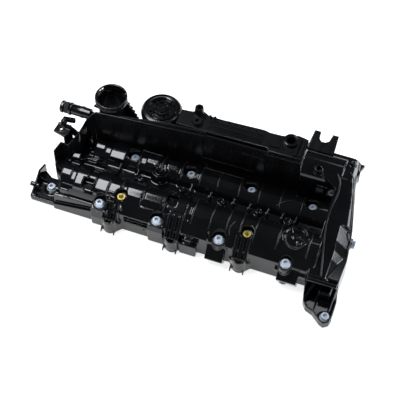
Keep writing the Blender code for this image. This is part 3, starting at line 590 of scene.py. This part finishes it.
def make_ear_ribs():
    """Thin rib on the floor of the ear, and a sloped web that comes down beside it."""
    rib = prism([(-97.0, 4.0), (-97.0, 7.0), (-74.0, 16.0), (-60.0, 20.0), (-60.0, 4.0)],
                (200.5, 202.5), "X", 0.4)
    web = prism([(0.0, -9.0), (0.0, 0.0), (34.0, 22.0), (34.0, -9.0)],
                (-2.0, 2.0), "X", 0.5)
    moved(web, Matrix.Translation((184.8, -86.5, 13.0))
          @ Matrix.Rotation(math.radians(-22.3), 4, "Z"))
    piece(union(rib, web), "ear_ribs", GLOSS_BLACK)


def rim_line(distance):
    front = FRONT_Y + 14.0 + distance
    return [(x, max(y, front)) for x, y in inset(TRAY, distance)]


def roof(x, y, z, rise):
    """Small block whose top slopes down towards the front."""
    return prism([(y[0], 30.0), (y[1], 30.0), (y[1], z + rise), (y[0], z)], x, "X")


def arch_beads():
    """Bead that runs down over the arch, and beads along its shoulder."""
    plan = [(175.0, 67.0), (182.0, 62.0), (186.5, 54.0), (188.0, 46.0), (187.8, 38.0), (186.0, 28.0),
            (184.2, 18.0), (184.2, 8.0), (186.0, -4.0), (188.6, -18.0), (192.0, -32.0),
            (195.4, -46.0), (198.4, -60.0), (199.0, -63.0)]
    inner = [(160.0, 65.0, 103.2)]
    inner += [(x, y, arch_height(y) + 0.2) for x, y in plan]
    outer = []
    for step in range(27):
        y = -62.0 + 6.0 * step
        outer.append((arch_edge(y) - 1.2, y, arch_height(y) - (16.0 if y < 0.0 else 11.0)))
    hook = [(196.0, 74.0, 103.0), (203.0, 64.0, 102.6), (206.0, 52.0, 98.6)]
    return [smooth_tube(inner, 1.5), smooth_tube(outer, 0.9), smooth_tube(hook, 0.9)]


def smooth_tube(points, radius):
    """Round bar along a curve through the points."""
    count = len(points)
    places = [Vector(p) for p in points]
    dense = []
    for i in range(count - 1):
        p0, p1, p2, p3 = (places[max(i - 1, 0)], places[i], places[i + 1],
                          places[min(i + 2, count - 1)])
        for step in range(5):
            t = step / 5
            dense.append(0.5 * (2 * p1 + (p2 - p0) * t + (2 * p0 - 5 * p1 + 4 * p2 - p3) * t ** 2
                                + (3 * p1 - 3 * p2 + p3 - p0) * t ** 3))
    dense.append(places[-1])
    return tube(dense, radius)


def make_beads():
    """Thin moulded lines on the cover, kept crisp."""
    edges = arch_beads()
    piece(union(edges[0], *edges[1:]), "arch_beads", BEAD_BLACK)
    lines = [smooth_tube([(-193.0, -46.2, 51.6), (-136.0, -46.2, 51.6)], 0.9),
             smooth_tube([(-190.0, -55.6, 30.0), (-144.0, -55.6, 30.0)], 0.9),
             smooth_tube([(129.0, -43.0, 55.6), (131.0, -28.0, 60.8), (139.0, -16.0, 60.0),
                          (152.0, -8.0, 56.6)], 1.0),
             smooth_tube([(108.0, 20.0, 52.6), (118.0, 28.0, 56.4), (131.0, 33.0, 57.2)], 0.8),
             smooth_tube([(61.0, -49.0, 50.6), (59.0, -42.0, 56.6), (64.0, -31.0, 61.2)], 1.0),
             smooth_tube([(-34.0, -47.5, 51.8), (-27.0, -44.0, 55.4), (-24.0, -38.0, 59.2)], 0.9),
             smooth_tube([(-104.0, 45.4, 54.0), (-74.0, 45.4, 54.0)], 0.9),
             smooth_tube([(-10.0, 45.8, 55.0), (50.0, 46.0, 55.0)], 0.7)]
    lines += [hump_ring(FRONT_HUMP, x) for x in FRONT_RINGS]
    lines += [hump_ring(REAR_HUMP, x) for x in REAR_RINGS]
    beads = cut(union(lines[0], *lines[1:]), *pocket_tools())
    piece(beads, "cover_beads", BEAD_BLACK)


def cover_details():
    """Ribs, ledges, bosses and beads on the outside of the cover."""
    shapes = [spoked_boss(), *front_apron()]
    # Sloped tiles, a knob and fins at the left end, behind and in front of the humps.
    shapes += [roof((-199.0, -187.0), (2.0, 9.0), 51.0, 2.4),
               roof((-196.0, -183.0), (-52.5, -46.5), 43.5, 2.4),
               roof((-125.0, -110.5), (-52.0, -44.0), 52.5, 3.0),
               roof((-112.0, -98.0), (-56.5, -50.0), 44.5, 2.4),
               cylinder((-184.0, 38.0), 3.6, (30.0, 54.0)),
               cylinder((-184.0, 38.0), 2.2, (50.0, 57.0))]
    for step in range(3):
        y = 7.0 + 6.5 * step
        shapes.append(tube([(-186.0 + 4.0 * step, y - 3.0, 46.0), (-176.0, y + 1.0, 48.5),
                            (-162.0, y + 1.5, 48.0), (-148.0, y - 1.0, 45.0)], 1.4))
        shapes.append(box((-182.0 + 4.0 * step, -150.0), (y - 1.2, y + 1.2), (36.0, 45.0)))
    # Stepped box right of the middle tower and two hooks left of it.
    shapes += [box((-7.0, 18.0), (-70.0, -55.0), (0.3, 24.0), 0.8),
               box((-1.0, 10.0), (-66.0, -54.0), (20.0, 33.0), 0.8),
               tube([(-85.0, -60.5, 35.0), (-85.0, -64.0, 29.0), (-81.0, -65.0, 24.0)], 1.4),
               tube([(-66.0, -60.5, 35.0), (-62.0, -64.0, 29.0), (-62.0, -64.0, 20.0)], 1.4)]
    # Shoulders that carry the columns of the two left front screws.
    for low, high, rise in ((-143.0, -117.0, 20.0), (-56.0, -33.0, 29.0)):
        side = [(-58.0, 0.3), (-65.5, 0.3), (-66.5, rise), (-64.0, 37.6), (-50.0, 37.6), (-50.0, 0.3)]
        shapes.append(prism(side, (low, high), "X"))
    # Cross ribs and small bosses in the valley between the humps.
    for x in (-128.0, -100.0, -64.0, -18.0, 12.0, 47.0, 71.0, 98.0, 120.0, 140.0):
        shapes.append(prism([(-10.0, 36.0), (18.0, 36.0), (22.0, 48.0), (8.0, 43.5), (0.0, 44.0),
                             (-9.0, 52.0)], (x - 1.3, x + 1.3), "X"))
    for x, y, radius, top in ((-92.0, 4.0, 5.5, 46.0), (-30.0, 6.0, 4.5, 45.0),
                              (30.0, 4.0, 6.0, 47.0), (86.0, 7.0, 5.0, 46.0),
                              (130.0, 3.0, 6.5, 48.0)):
        ring = cylinder((x, y), radius, (36.0, top))
        shapes.append(cut(ring, cylinder((x, y), radius - 2.4, (top - 4.0, top + 4.0))))
    # Cup with two rings beside the rear hump.
    shapes.append(turned([(0.0, 36.0), (13.0, 36.0), (13.0, 55.0), (10.8, 55.0), (10.8, 49.0),
                          (8.0, 49.0), (8.0, 53.0), (5.8, 53.0), (5.8, 45.0), (0.0, 45.0)],
                         (-68.0, 20.0, 0.0)))
    # Pegs and folds at the right rear.
    shapes += [cylinder((196.0, 88.0), 4.2, (95.0, 106.5)), cylinder((196.0, 88.0), 2.6, (100.0, 108.0)),
               cylinder((203.0, 80.0), 5.5, (80.0, 98.0)),
               turned([(3.6, 100.0), (5.8, 100.0), (5.8, 110.6), (3.6, 110.6)], (153.0, 61.0, 0.0))]
    return shapes


def make_cover():
    shell = cut(prism(TRAY, (0.0, TRAY_TOP)), *left_step())
    union(shell, *humps(), arch(), barrel_base(), barrel())
    union(shell, *[front_tower(x) for x in TOWERS])
    union(shell, left_end_wall(), corner(), ear(), *cover_details())
    union(shell, *screw_bosses())
    union(shell, prism([(200.0, 99.0), (200.0, 66.0), (211.0, 99.0)], (88.0, 95.0)),
          cylinder((8.0, 30.0), 8.0, (205.0, 224.0), "X"))

    pockets = pocket_tools()
    pockets += [box((-174.0, -146.0), (-60.0, -51.8), (31.0, 44.0)),
                box((-94.0, -58.0), (-66.0, -56.0), (22.0, 34.5))]
    cut(shell, *pockets, prism(platform(GAP), (PLATFORM_Z, 130.0)))

    hollow = prism(rim_line(10.0), (-5.0, TRAY_TOP - WALL))
    union(hollow, hump_bar(FRONT_HUMP, 21.5, (-196.0, 183.0)),
          hump_bar(REAR_HUMP, 15.5, (-172.0, 183.0)), arch(WALL + 0.5))
    union(hollow, barrel_base(WALL), barrel(WALL))
    cut(hollow, prism(platform(GAP + WALL), (PLATFORM_Z - WALL, 140.0)),
        *[box((low - 2.0, high + 2.0), (front - 2.0, back + 2.0), (47.0, 90.0))
          for low, high, front, back in HUMP_WINDOWS],
        cylinder((151.0, -25.0), 19.0, (53.5, 80.0)))
    cut(hollow, *[cylinder(p, 16.0, (PLATFORM_Z - WALL, 120.0)) for p in COVER_SCREWS],
        *[cylinder(p, 12.0, (PLATFORM_Z - WALL, 120.0)) for p in UPPER_INSERTS])
    cut(shell, hollow)

    union(shell, *[cylinder(p, 9.0, (0.2, TRAY_TOP - 1.0)) for p in COVER_SCREWS])
    bores = [cylinder(p, 6.35, (-5.0, 60.0)) for p in COVER_SCREWS]
    bores += [cylinder(p, 3.35, (-5.0, 30.0)) for p in CORNER_SCREWS]
    bores += [cylinder(p, 4.85, (38.5, 60.0)) for p in UPPER_INSERTS]
    bores += [cylinder(p, 4.85, (9.0, 23.5)) for p in LOWER_INSERTS]
    bores += [cylinder(NECK, 17.0, (20.0, 60.0)), cylinder(VALVE, 12.0, (20.0, 60.0)),
              cylinder((PIPE_FOOT_X, PIPE.y), 4.6, (20.0, 60.0)),
              cylinder(DRAIN, 6.0, (20.0, 60.0)),
              cylinder((8.0, 30.0), 3.2, (200.0, 240.0), "X")]
    bores += [cylinder(p, 10.2, (TRAY_TOP + 0.2, 46.5)) for p in COVER_SCREWS]
    cut(shell, *bores)
    groove = prism(rim_line(2.7), (-1.0, 5.0))
    cut(groove, prism(rim_line(7.3), (-2.0, 6.0)))
    cut(shell, groove)
    piece(moulded(shell, 0.8, 2), "cover_moulding", GLOSS_BLACK,
          ["cover_shell"], sharp=None)


# ------------------------------------------------------------------ fasteners
def torx_recess(centre, low, high):
    """Six-lobed socket."""
    outline = []
    for step in range(48):
        angle = 2 * math.pi * step / 48
        radius = 2.75 + 0.45 * math.cos(6 * angle)
        outline.append((radius * math.cos(angle), radius * math.sin(angle)))
    return moved(prism(outline, (low, high)), Matrix.Translation((centre[0], centre[1], 0.0)))


def flanged_screw(centre, seat, tip):
    """Screw with a washer face, a rounded flange, a cylinder head and a threaded shank."""
    profile = [(0.0, tip), (2.4, tip), (3.0, tip + 0.8)]
    turns = int((seat - tip - 6.0) / 1.25)
    for turn in range(max(turns, 0)):
        z = tip + 1.2 + 1.25 * turn
        profile += [(3.0, z), (2.6, z + 0.5), (3.0, z + 1.0)]
    profile += [(3.0, seat), (7.0, seat), (7.3, seat + 0.4), (7.3, seat + 1.2),
                (6.9, seat + 1.65), (6.2, seat + 1.9), (5.9, seat + 2.4), (5.6, seat + 5.2),
                (5.1, seat + 5.9), (3.9, seat + 6.0), (0.0, seat + 6.0)]
    body = turned(profile, (centre[0], centre[1], 0.0))
    return cut(body, torx_recess(centre, seat + 2.6, seat + 10.0))


def make_screws():
    for i, p in enumerate(COVER_SCREWS):
        piece(flanged_screw(p, 40.0, 1.5), f"cover_screw_detail_{i + 1}", ZINC,
              [f"cover_screw_{i + 1}"])
    for i, p in enumerate(CORNER_SCREWS):
        piece(flanged_screw(p, 9.0, 0.5), f"corner_screw_detail_{i + 1}", ZINC,
              [f"corner_screw_{i + 1}"])


def make_inserts():
    """Brass bushes with a knurled body, a flange, a chamfered thread and a bright lip."""
    for names, points in (("upper_insert", UPPER_INSERTS), ("lower_insert", LOWER_INSERTS)):
        for i, p in enumerate(points):
            low, high = (corner.z for corner in design_box(f"{names}_{i + 1}"))
            profile = [(2.5, low), (4.2, low), (4.5, low + 0.5)]
            for ring in range(7):
                z = low + 1.0 + 1.2 * ring
                profile += [(4.5, z), (4.25, z + 0.3), (4.25, z + 0.7), (4.5, z + 1.0)]
            profile += [(4.5, high - 1.3), (5.75, high - 1.25), (5.8, high - 0.3),
                        (5.5, high), (4.3, high), (4.1, high - 0.35), (3.6, high - 0.35),
                        (2.9, high - 1.0)]
            for turn in range(7):
                z = high - 1.2 - 1.2 * turn
                profile += [(2.9, z), (2.5, z - 0.6)]
            profile += [(2.5, low + 0.3)]
            piece(turned(profile, (p.x, p.y, 0.0)), f"{names}_detail_{i + 1}", BRASS,
                  [f"{names}_{i + 1}"])


# ------------------------------------------------------------------ neck, pipe and valve cap
def make_neck():
    """Filler neck: bayonet rim, bead, three lugs and the stepped web at its right."""
    low, high = (corner.z for corner in design_box("filler_neck"))
    profile = [(22.8, high), (23.5, high - 0.6), (23.5, high - 2.8), (22.3, high - 3.6),
               (22.3, high - 8.0), (23.3, high - 8.6), (23.3, high - 10.2), (22.3, high - 10.8),
               (21.8, high - 12.0), (19.6, high - 14.4), (19.6, low + 3.5), (20.8, low + 3.0),
               (20.8, low), (17.0, low), (17.0, high - 17.0), (18.6, high - 14.0),
               (19.4, high - 10.5), (19.4, high - 6.2), (20.2, high - 5.6), (20.2, high - 0.6),
               (20.8, high)]
    neck = turned(profile, (NECK.x, NECK.y, 0.0))
    place = Matrix.Translation((NECK.x, NECK.y, high))
    notches = []
    for turn in (35.0, 155.0, 275.0):
        notch = box((17.0, 22.0), (-4.0, 4.0), (-6.0, 6.0))
        notches.append(moved(notch, place @ Matrix.Rotation(math.radians(turn), 4, "Z")))
    cut(neck, *notches)
    lugs = []
    for turn in (80.0, 200.0, 320.0):
        lug = box((21.5, 23.4), (-4.5, 4.5), (-12.0, -1.0), 0.6)
        lugs.append(moved(lug, place @ Matrix.Rotation(math.radians(turn), 4, "Z")))
    for turn in (-38.0, 4.0, 52.0, 122.0, 238.0):
        ramp = box((17.6, 20.0), (-3.2, 3.2), (-10.6, -8.8), 0.4)
        lugs.append(moved(ramp, place @ Matrix.Rotation(math.radians(turn), 4, "Z")))
    web = prism([(NECK.x + 18.8, 70.0), (NECK.x + 41.0, 70.0), (NECK.x + 40.6, 80.0),
                 (NECK.x + 38.6, 80.6), (NECK.x + 39.2, 86.0), (NECK.x + 36.6, 87.0),
                 (NECK.x + 37.0, 92.0), (NECK.x + 33.6, 93.4), (NECK.x + 34.0, 99.0),
                 (NECK.x + 30.4, 100.4), (NECK.x + 30.6, 106.0), (NECK.x + 27.0, 107.4),
                 (NECK.x + 26.4, 113.0), (NECK.x + 18.8, 118.0)], (72.6, 77.4), "Y")
    bar = box((NECK.x + 19.0, NECK.x + 38.0), (72.0, 78.2), (84.0, 86.4), 0.6)
    left_web = prism([(NECK.x - 18.8, 96.0), (NECK.x - 27.0, 98.0), (NECK.x - 18.8, 110.0)],
                     (64.0, 68.0), "Y")
    union(neck, web, bar, left_web, *lugs)
    piece(moulded(neck, 0.45, 2), "filler_neck_detail", SATIN_BLACK,
          ["filler_neck"], sharp=None)


def make_pipe():
    """Breather stub with its hose beads, a long rib and the gusset to the neck."""
    y, z = PIPE.y, PIPE.z
    bend = []
    for step in range(9):
        angle = math.pi / 2 * step / 8
        bend.append((PIPE_FOOT_X - 9.0 * (1.0 - math.sin(angle)), y,
                     z - 9.0 * (1.0 - math.cos(angle))))
    foot = design_box("breather_pipe")[0].z
    pipe = tube([(-233.0, y, z), *bend, (PIPE_FOOT_X, y, foot)], 6.75)
    union(pipe, turned([(0.0, -216.0), (7.6, -216.0), (8.3, -214.0), (8.3, -196.0), (8.0, -188.0),
                        (0.0, -188.0)], (0.0, y, z), axis="X"))
    beads = [turned([(0.0, -234.0), (8.0, -234.0), (9.3, -232.4), (9.2, -229.5), (7.2, -228.0),
                     (0.0, -228.0)], (0.0, y, z), axis="X"),
             turned([(0.0, -220.5), (9.0, -220.5), (9.6, -219.6), (9.6, -217.2), (7.4, -216.0),
                     (0.0, -216.0)], (0.0, y, z), axis="X"),
             cylinder((y, z), 8.9, (-201.0, -198.0), "X")]
    rib = box((-216.0, -186.0), (y - 0.9, y + 0.9), (z + 6.0, z + 9.2), 0.4)
    gusset = prism([(-204.0, 6.0), (-190.0, 6.0), (-186.0, 1.5), (-186.0, -1.5), (-206.0, -1.5)],
                   (-1.2, 1.2))
    moved(gusset, Matrix.Translation((0.0, y, z)))
    union(pipe, *beads, rib, gusset)
    cut(pipe, tube([(-240.0, y, z), *bend, (PIPE_FOOT_X, y, foot - 5.0)], 4.6))
    piece(pipe, "breather_pipe_detail", SATIN_BLACK, ["breather_pipe"])


def make_bracket():
    """Lug with its hole, the nipple's arm and the web between the pipe and the end wall."""
    lug = prism([(-236.0, 24.0), (-217.0, 19.0), (-213.0, 24.0), (-213.0, 40.0), (-234.5, 41.0)],
                (66.0, 69.6))
    web = prism([(-229.0, 67.0), (-229.0, 72.0), (-216.0, 76.0), (-209.0, 72.0), (-203.0, 66.0),
                 (-196.5, 68.0), (-194.5, 60.0), (-196.0, 39.0), (-202.0, 39.0), (-208.0, 56.0),
                 (-216.0, 62.0)], (33.5, 37.0), "Y")
    strut = [box((-219.0, -215.0), (20.0, 24.5), (TRAY_TOP + 0.35, 68.0), 0.6),
             box((-219.0, -212.0), (32.0, 37.0), (TRAY_TOP + 0.35, 68.0), 0.6),
             box((-219.0, -216.4), (22.0, 35.0), (TRAY_TOP + 0.35, 60.0), 0.6),
             box((-235.0, -214.0), (39.0, 41.0), (64.0, 71.0), 0.5),
             turned([(2.6, 68.0), (4.6, 68.0), (4.6, 70.6), (2.6, 70.6)], (-226.5, 31.0, 0.0))]
    union(lug, web, *strut)
    cut(lug, cylinder((-226.5, 31.0), 2.6, (50.0, 90.0)))
    piece(moulded(lug, 0.5, 2), "pipe_bracket_detail", SATIN_BLACK,
          ["pipe_bracket"], sharp=None)

    nipple = cylinder((-225.0, 77.0), 4.2, (36.0, 46.0), "Y")
    union(nipple, cylinder((-225.0, 77.0), 5.0, (38.0, 40.0), "Y"),
          prism([(-225.0, 73.0), (-209.0, 76.0), (-209.0, 84.0), (-225.0, 81.0)], (41.5, 46.0), "Y"))
    cut(nipple, cylinder((-225.0, 77.0), 2.4, (30.0, 45.0), "Y"))
    piece(moulded(nipple, 0.4, 2), "vacuum_nipple_detail", SATIN_BLACK,
          ["vacuum_nipple"], sharp=None)


def make_valve_cap():
    """Stepped cap over the membrane, with slots, an inner ring and a notched rim."""
    top = design_box("valve_cap")[1].z
    profile = [(0.0, top - 3.2), (4.6, top - 3.0), (5.4, top - 1.2), (7.0, top - 1.2),
               (7.6, top - 3.0), (10.4, top - 3.2), (11.2, top - 0.8), (12.6, top - 0.8),
               (13.4, top - 3.4), (18.2, top - 3.6), (19.0, top - 0.9), (20.6, top - 0.3),
               (21.6, top - 0.9), (22.2, top - 3.0), (24.4, top - 3.2), (25.0, top - 2.0),
               (27.0, top - 2.4), (29.0, top - 4.6), (30.0, top - 7.0), (30.0, top - 12.0),
               (29.4, top - 12.6), (29.4, top - 16.0), (28.4, top - 16.0), (28.4, top - 6.2),
               (23.0, top - 6.2), (19.0, top - 6.6), (11.0, top - 6.6), (0.0, top - 6.0)]
    cap = turned(profile, (VALVE.x, VALVE.y, 0.0))
    place = Matrix.Translation((VALVE.x, VALVE.y, top))
    tools = []
    for turn in range(4):
        angle = Matrix.Rotation(math.radians(45.0 + 90.0 * turn), 4, "Z")
        for side in (-1.0, 1.0):
            slot = box((13.9, 17.7), (side * 3.2 - 2.1, side * 3.2 + 2.1), (-20.0, 20.0))
            tools.append(moved(slot, place @ angle))
    for turn in range(18):
        angle = Matrix.Rotation(2 * math.pi * turn / 18 + 0.1, 4, "Z")
        notch = box((28.9, 33.0), (-1.7, 1.7), (-12.0, -6.0))
        tools.append(moved(notch, place @ angle))
    cut(cap, *tools)
    spokes = []
    for turn in range(6):
        angle = Matrix.Rotation(2 * math.pi * turn / 6 + 0.3, 4, "Z")
        spokes.append(moved(box((6.2, 11.6), (-1.0, 1.0), (-4.6, -1.4), 0.3), place @ angle))
    union(cap, *spokes)
    piece(cap, "valve_cap_detail", SATIN_BLACK, ["valve_cap"])


def make_separator_details():
    """Folds, beads and edge strips welded to the tall wall, the lid and the fork."""
    top = SEPARATOR_TOP
    wall = [tube([(-176.0, 45.6, top - 0.4), (-15.0, 58.5, top - 0.4)], 0.9),
            box((-19.6, -17.4), (56.6, 60.0), (40.0, top - 0.5), 0.5),
            box((-58.0, -56.6), (54.0, 57.0), (40.0, top - 0.5), 0.4),
            tube([(-16.0, 58.2, 61.0), (60.0, 59.4, 60.0)], 0.8),
            tube([(75.0, 59.6, 108.5), (126.0, 60.6, 108.5)], 0.9),
            tube([(40.0, 59.2, 96.0), (75.0, 59.6, 96.0)], 0.7),
            box((74.0, 75.6), (58.2, 61.0), (60.0, 108.0), 0.4),
            box((99.0, 100.4), (58.6, 61.0), (60.0, 108.0), 0.4)]
    piece(union(wall[0], *wall[1:]), "separator_beads", SEPARATOR_BLACK)

    high = LID_TOP
    edge = [(-58.0, 64.4), (-11.0, 64.4), (75.0, 66.8), (79.8, 61.8), (125.8, 62.8)]
    lid = [tube([(x, y, high) for x, y in edge], 0.8),
           turned([(8.6, high), (10.6, high), (10.6, high + 4.2), (9.6, high + 4.6),
                   (8.6, high + 4.2)], (104.0, 88.0, 0.0)),
           turned([(6.8, high + 1.0), (7.8, high + 1.0), (7.8, high + 3.6), (6.8, high + 3.6)],
                  (104.0, 88.0, 0.0)),
           box((78.0, 92.0), (70.0, 80.0), (high - 0.5, high + 1.8), 0.6),
           box((-16.0, 66.0), (70.0, 71.0), (high - 0.5, high + 0.9), 0.3),
           box((-16.0, 66.0), (72.8, 73.6), (high - 0.5, high + 0.9), 0.3),
           box((-16.0, 66.0), (80.4, 81.2), (high - 0.5, high + 0.9), 0.3),
           box((64.0, 65.4), (69.0, 88.0), (high - 0.5, high + 1.6), 0.4),
           cylinder((97.0, 72.0), 1.6, (high - 0.5, high + 1.4)),
           cylinder((108.0, 71.0), 1.6, (high - 0.5, high + 1.4))]
    for i, x in enumerate((12.0, 22.0, 32.0, 42.0, 52.0)):
        lid.append(box((x - 2.2, x + 2.2), (88.6, 92.4 - 0.3 * i), (high - 0.8, high + 1.2), 0.5))
    piece(union(lid[0], *lid[1:]), "lid_details", SEPARATOR_BLACK)

    fork_high = design_box("cable_fork")[1].z
    fork = [tube([(165.2, 96.0, fork_high), (163.4, 121.0, fork_high), (156.2, 121.0, fork_high),
                  (154.0, 108.6, fork_high), (149.2, 104.4, fork_high), (143.2, 104.4, fork_high),
                  (139.0, 108.6, fork_high), (137.4, 121.0, fork_high), (129.6, 121.0, fork_high),
                  (128.2, 98.0, fork_high), (128.0, 89.0, fork_high)], 0.7)]
    for x in (134.0, 147.0, 160.0):
        fork.append(box((x - 0.8, x + 0.8), (88.5, 102.0), (fork_high - 1.0, fork_high + 0.9), 0.3))
    piece(union(fork[0], *fork[1:]), "fork_ribs", SATIN_BLACK)


# ------------------------------------------------------------------ CAD nodes that stay visible
def finish_for(node):
    if node.startswith(("cover_screw", "corner_screw", "side_screw")):
        return ZINC
    if node.startswith(("screw_sleeve", "valve_spring")):
        return STEEL
    if "insert" in node:
        return BRASS
    if node == "valve_plate":
        return GREY_PLASTIC
    if node.endswith("_seal") or node.startswith(("screw_grommet", "perimeter", "valve_diaphragm",
                                                  "return_disc")):
        return RUBBER
    if node.startswith(("valve_cap", "filler_neck", "pipe_bracket")):
        return SATIN_BLACK
    return SEPARATOR_BLACK


def dress_cad_nodes():
    for name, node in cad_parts.items():
        node.data.materials.clear()
        node.data.materials.append(finish_for(name))


# ------------------------------------------------------------------ studio
def area_light(name, place, size, power, turn, color):
    """Rectangular light; turn is its rotation in degrees, from facing straight down."""
    data = bpy.data.lights.new(name, "AREA")
    data.shape = "RECTANGLE"
    data.size, data.size_y = size
    data.energy = power
    data.color = color
    light = bpy.data.objects.new(name, data)
    light.location = place
    light.rotation_euler = [math.radians(angle) for angle in turn]
    bpy.context.scene.collection.objects.link(light)


def studio():
    bm = bmesh.new()
    bmesh.ops.create_grid(bm, x_segments=1, y_segments=1, size=6.0)
    floor = mesh_object(bm, "floor")
    mat, tree, shader = shader_of("pale_floor")
    tree.links.new(ramp(tree, object_noise(tree, 1.5), (0.9, 0.9, 0.9), (0.93, 0.93, 0.93)),
                   shader.inputs["Base Color"])
    shader.inputs["Roughness"].default_value = 0.9
    shader.inputs["Specular IOR Level"].default_value = 0.0
    shader.inputs["Emission Color"].default_value = (1.0, 1.0, 1.0, 1.0)
    shader.inputs["Emission Strength"].default_value = 0.8
    floor.data.materials.append(mat)

    world = bpy.data.worlds.new("studio")
    bpy.context.scene.world = world
    world.use_nodes = True
    world.node_tree.nodes["Background"].inputs["Color"].default_value = (0.85, 0.92, 1.0, 1.0)
    world.node_tree.nodes["Background"].inputs["Strength"].default_value = 0.07

    # Highlights on the left crowns, on the arch's bead, on its shoulder and on the ear's floor.
    area_light("softbox_left", (-0.605, 0.08, 1.5), (0.33, 1.34), 18.0, (0.0, 0.0, 0.0),
               (0.93, 0.96, 1.0))
    area_light("soft_right_rear", (1.9, 1.2, 0.85), (1.2, 1.2), 40.0, (0.0, 70.0, 30.0),
               (0.9, 0.94, 1.0))
    area_light("panel_right", (1.7, -0.25, 0.6), (0.4, 0.8), 9.0, (0.0, 72.0, -8.0),
               (0.88, 0.93, 1.0))
    area_light("strip_ear", (0.09, 0.74, 1.5), (0.16, 0.18), 0.3, (0.0, 0.0, 0.0),
               (0.9, 0.94, 1.0))


def camera():
    """Long lens from the front right, 55 degrees up."""
    azimuth, elevation, distance = math.radians(20.0), math.radians(55.0), 1.7857
    target = DESIGN_ZERO + Vector((0.0, 0.0, 0.040))
    away = Vector((math.sin(azimuth) * math.cos(elevation),
                   -math.cos(azimuth) * math.cos(elevation), math.sin(elevation)))
    data = bpy.data.cameras.new("camera")
    data.lens = 112.5
    data.sensor_width = 36.0
    obj = bpy.data.objects.new("camera", data)
    obj.location = target + away * distance
    obj.rotation_euler = (-away).to_track_quat("-Z", "Y").to_euler()
    bpy.context.scene.collection.objects.link(obj)
    bpy.context.scene.camera = obj
    bpy.context.scene.view_settings.view_transform = "Standard"


camera()
studio()
dress_cad_nodes()
make_cover()
make_beads()
make_ear_ribs()
make_screws()
make_inserts()
make_neck()
make_pipe()
make_bracket()
make_valve_cap()
make_separator_details()
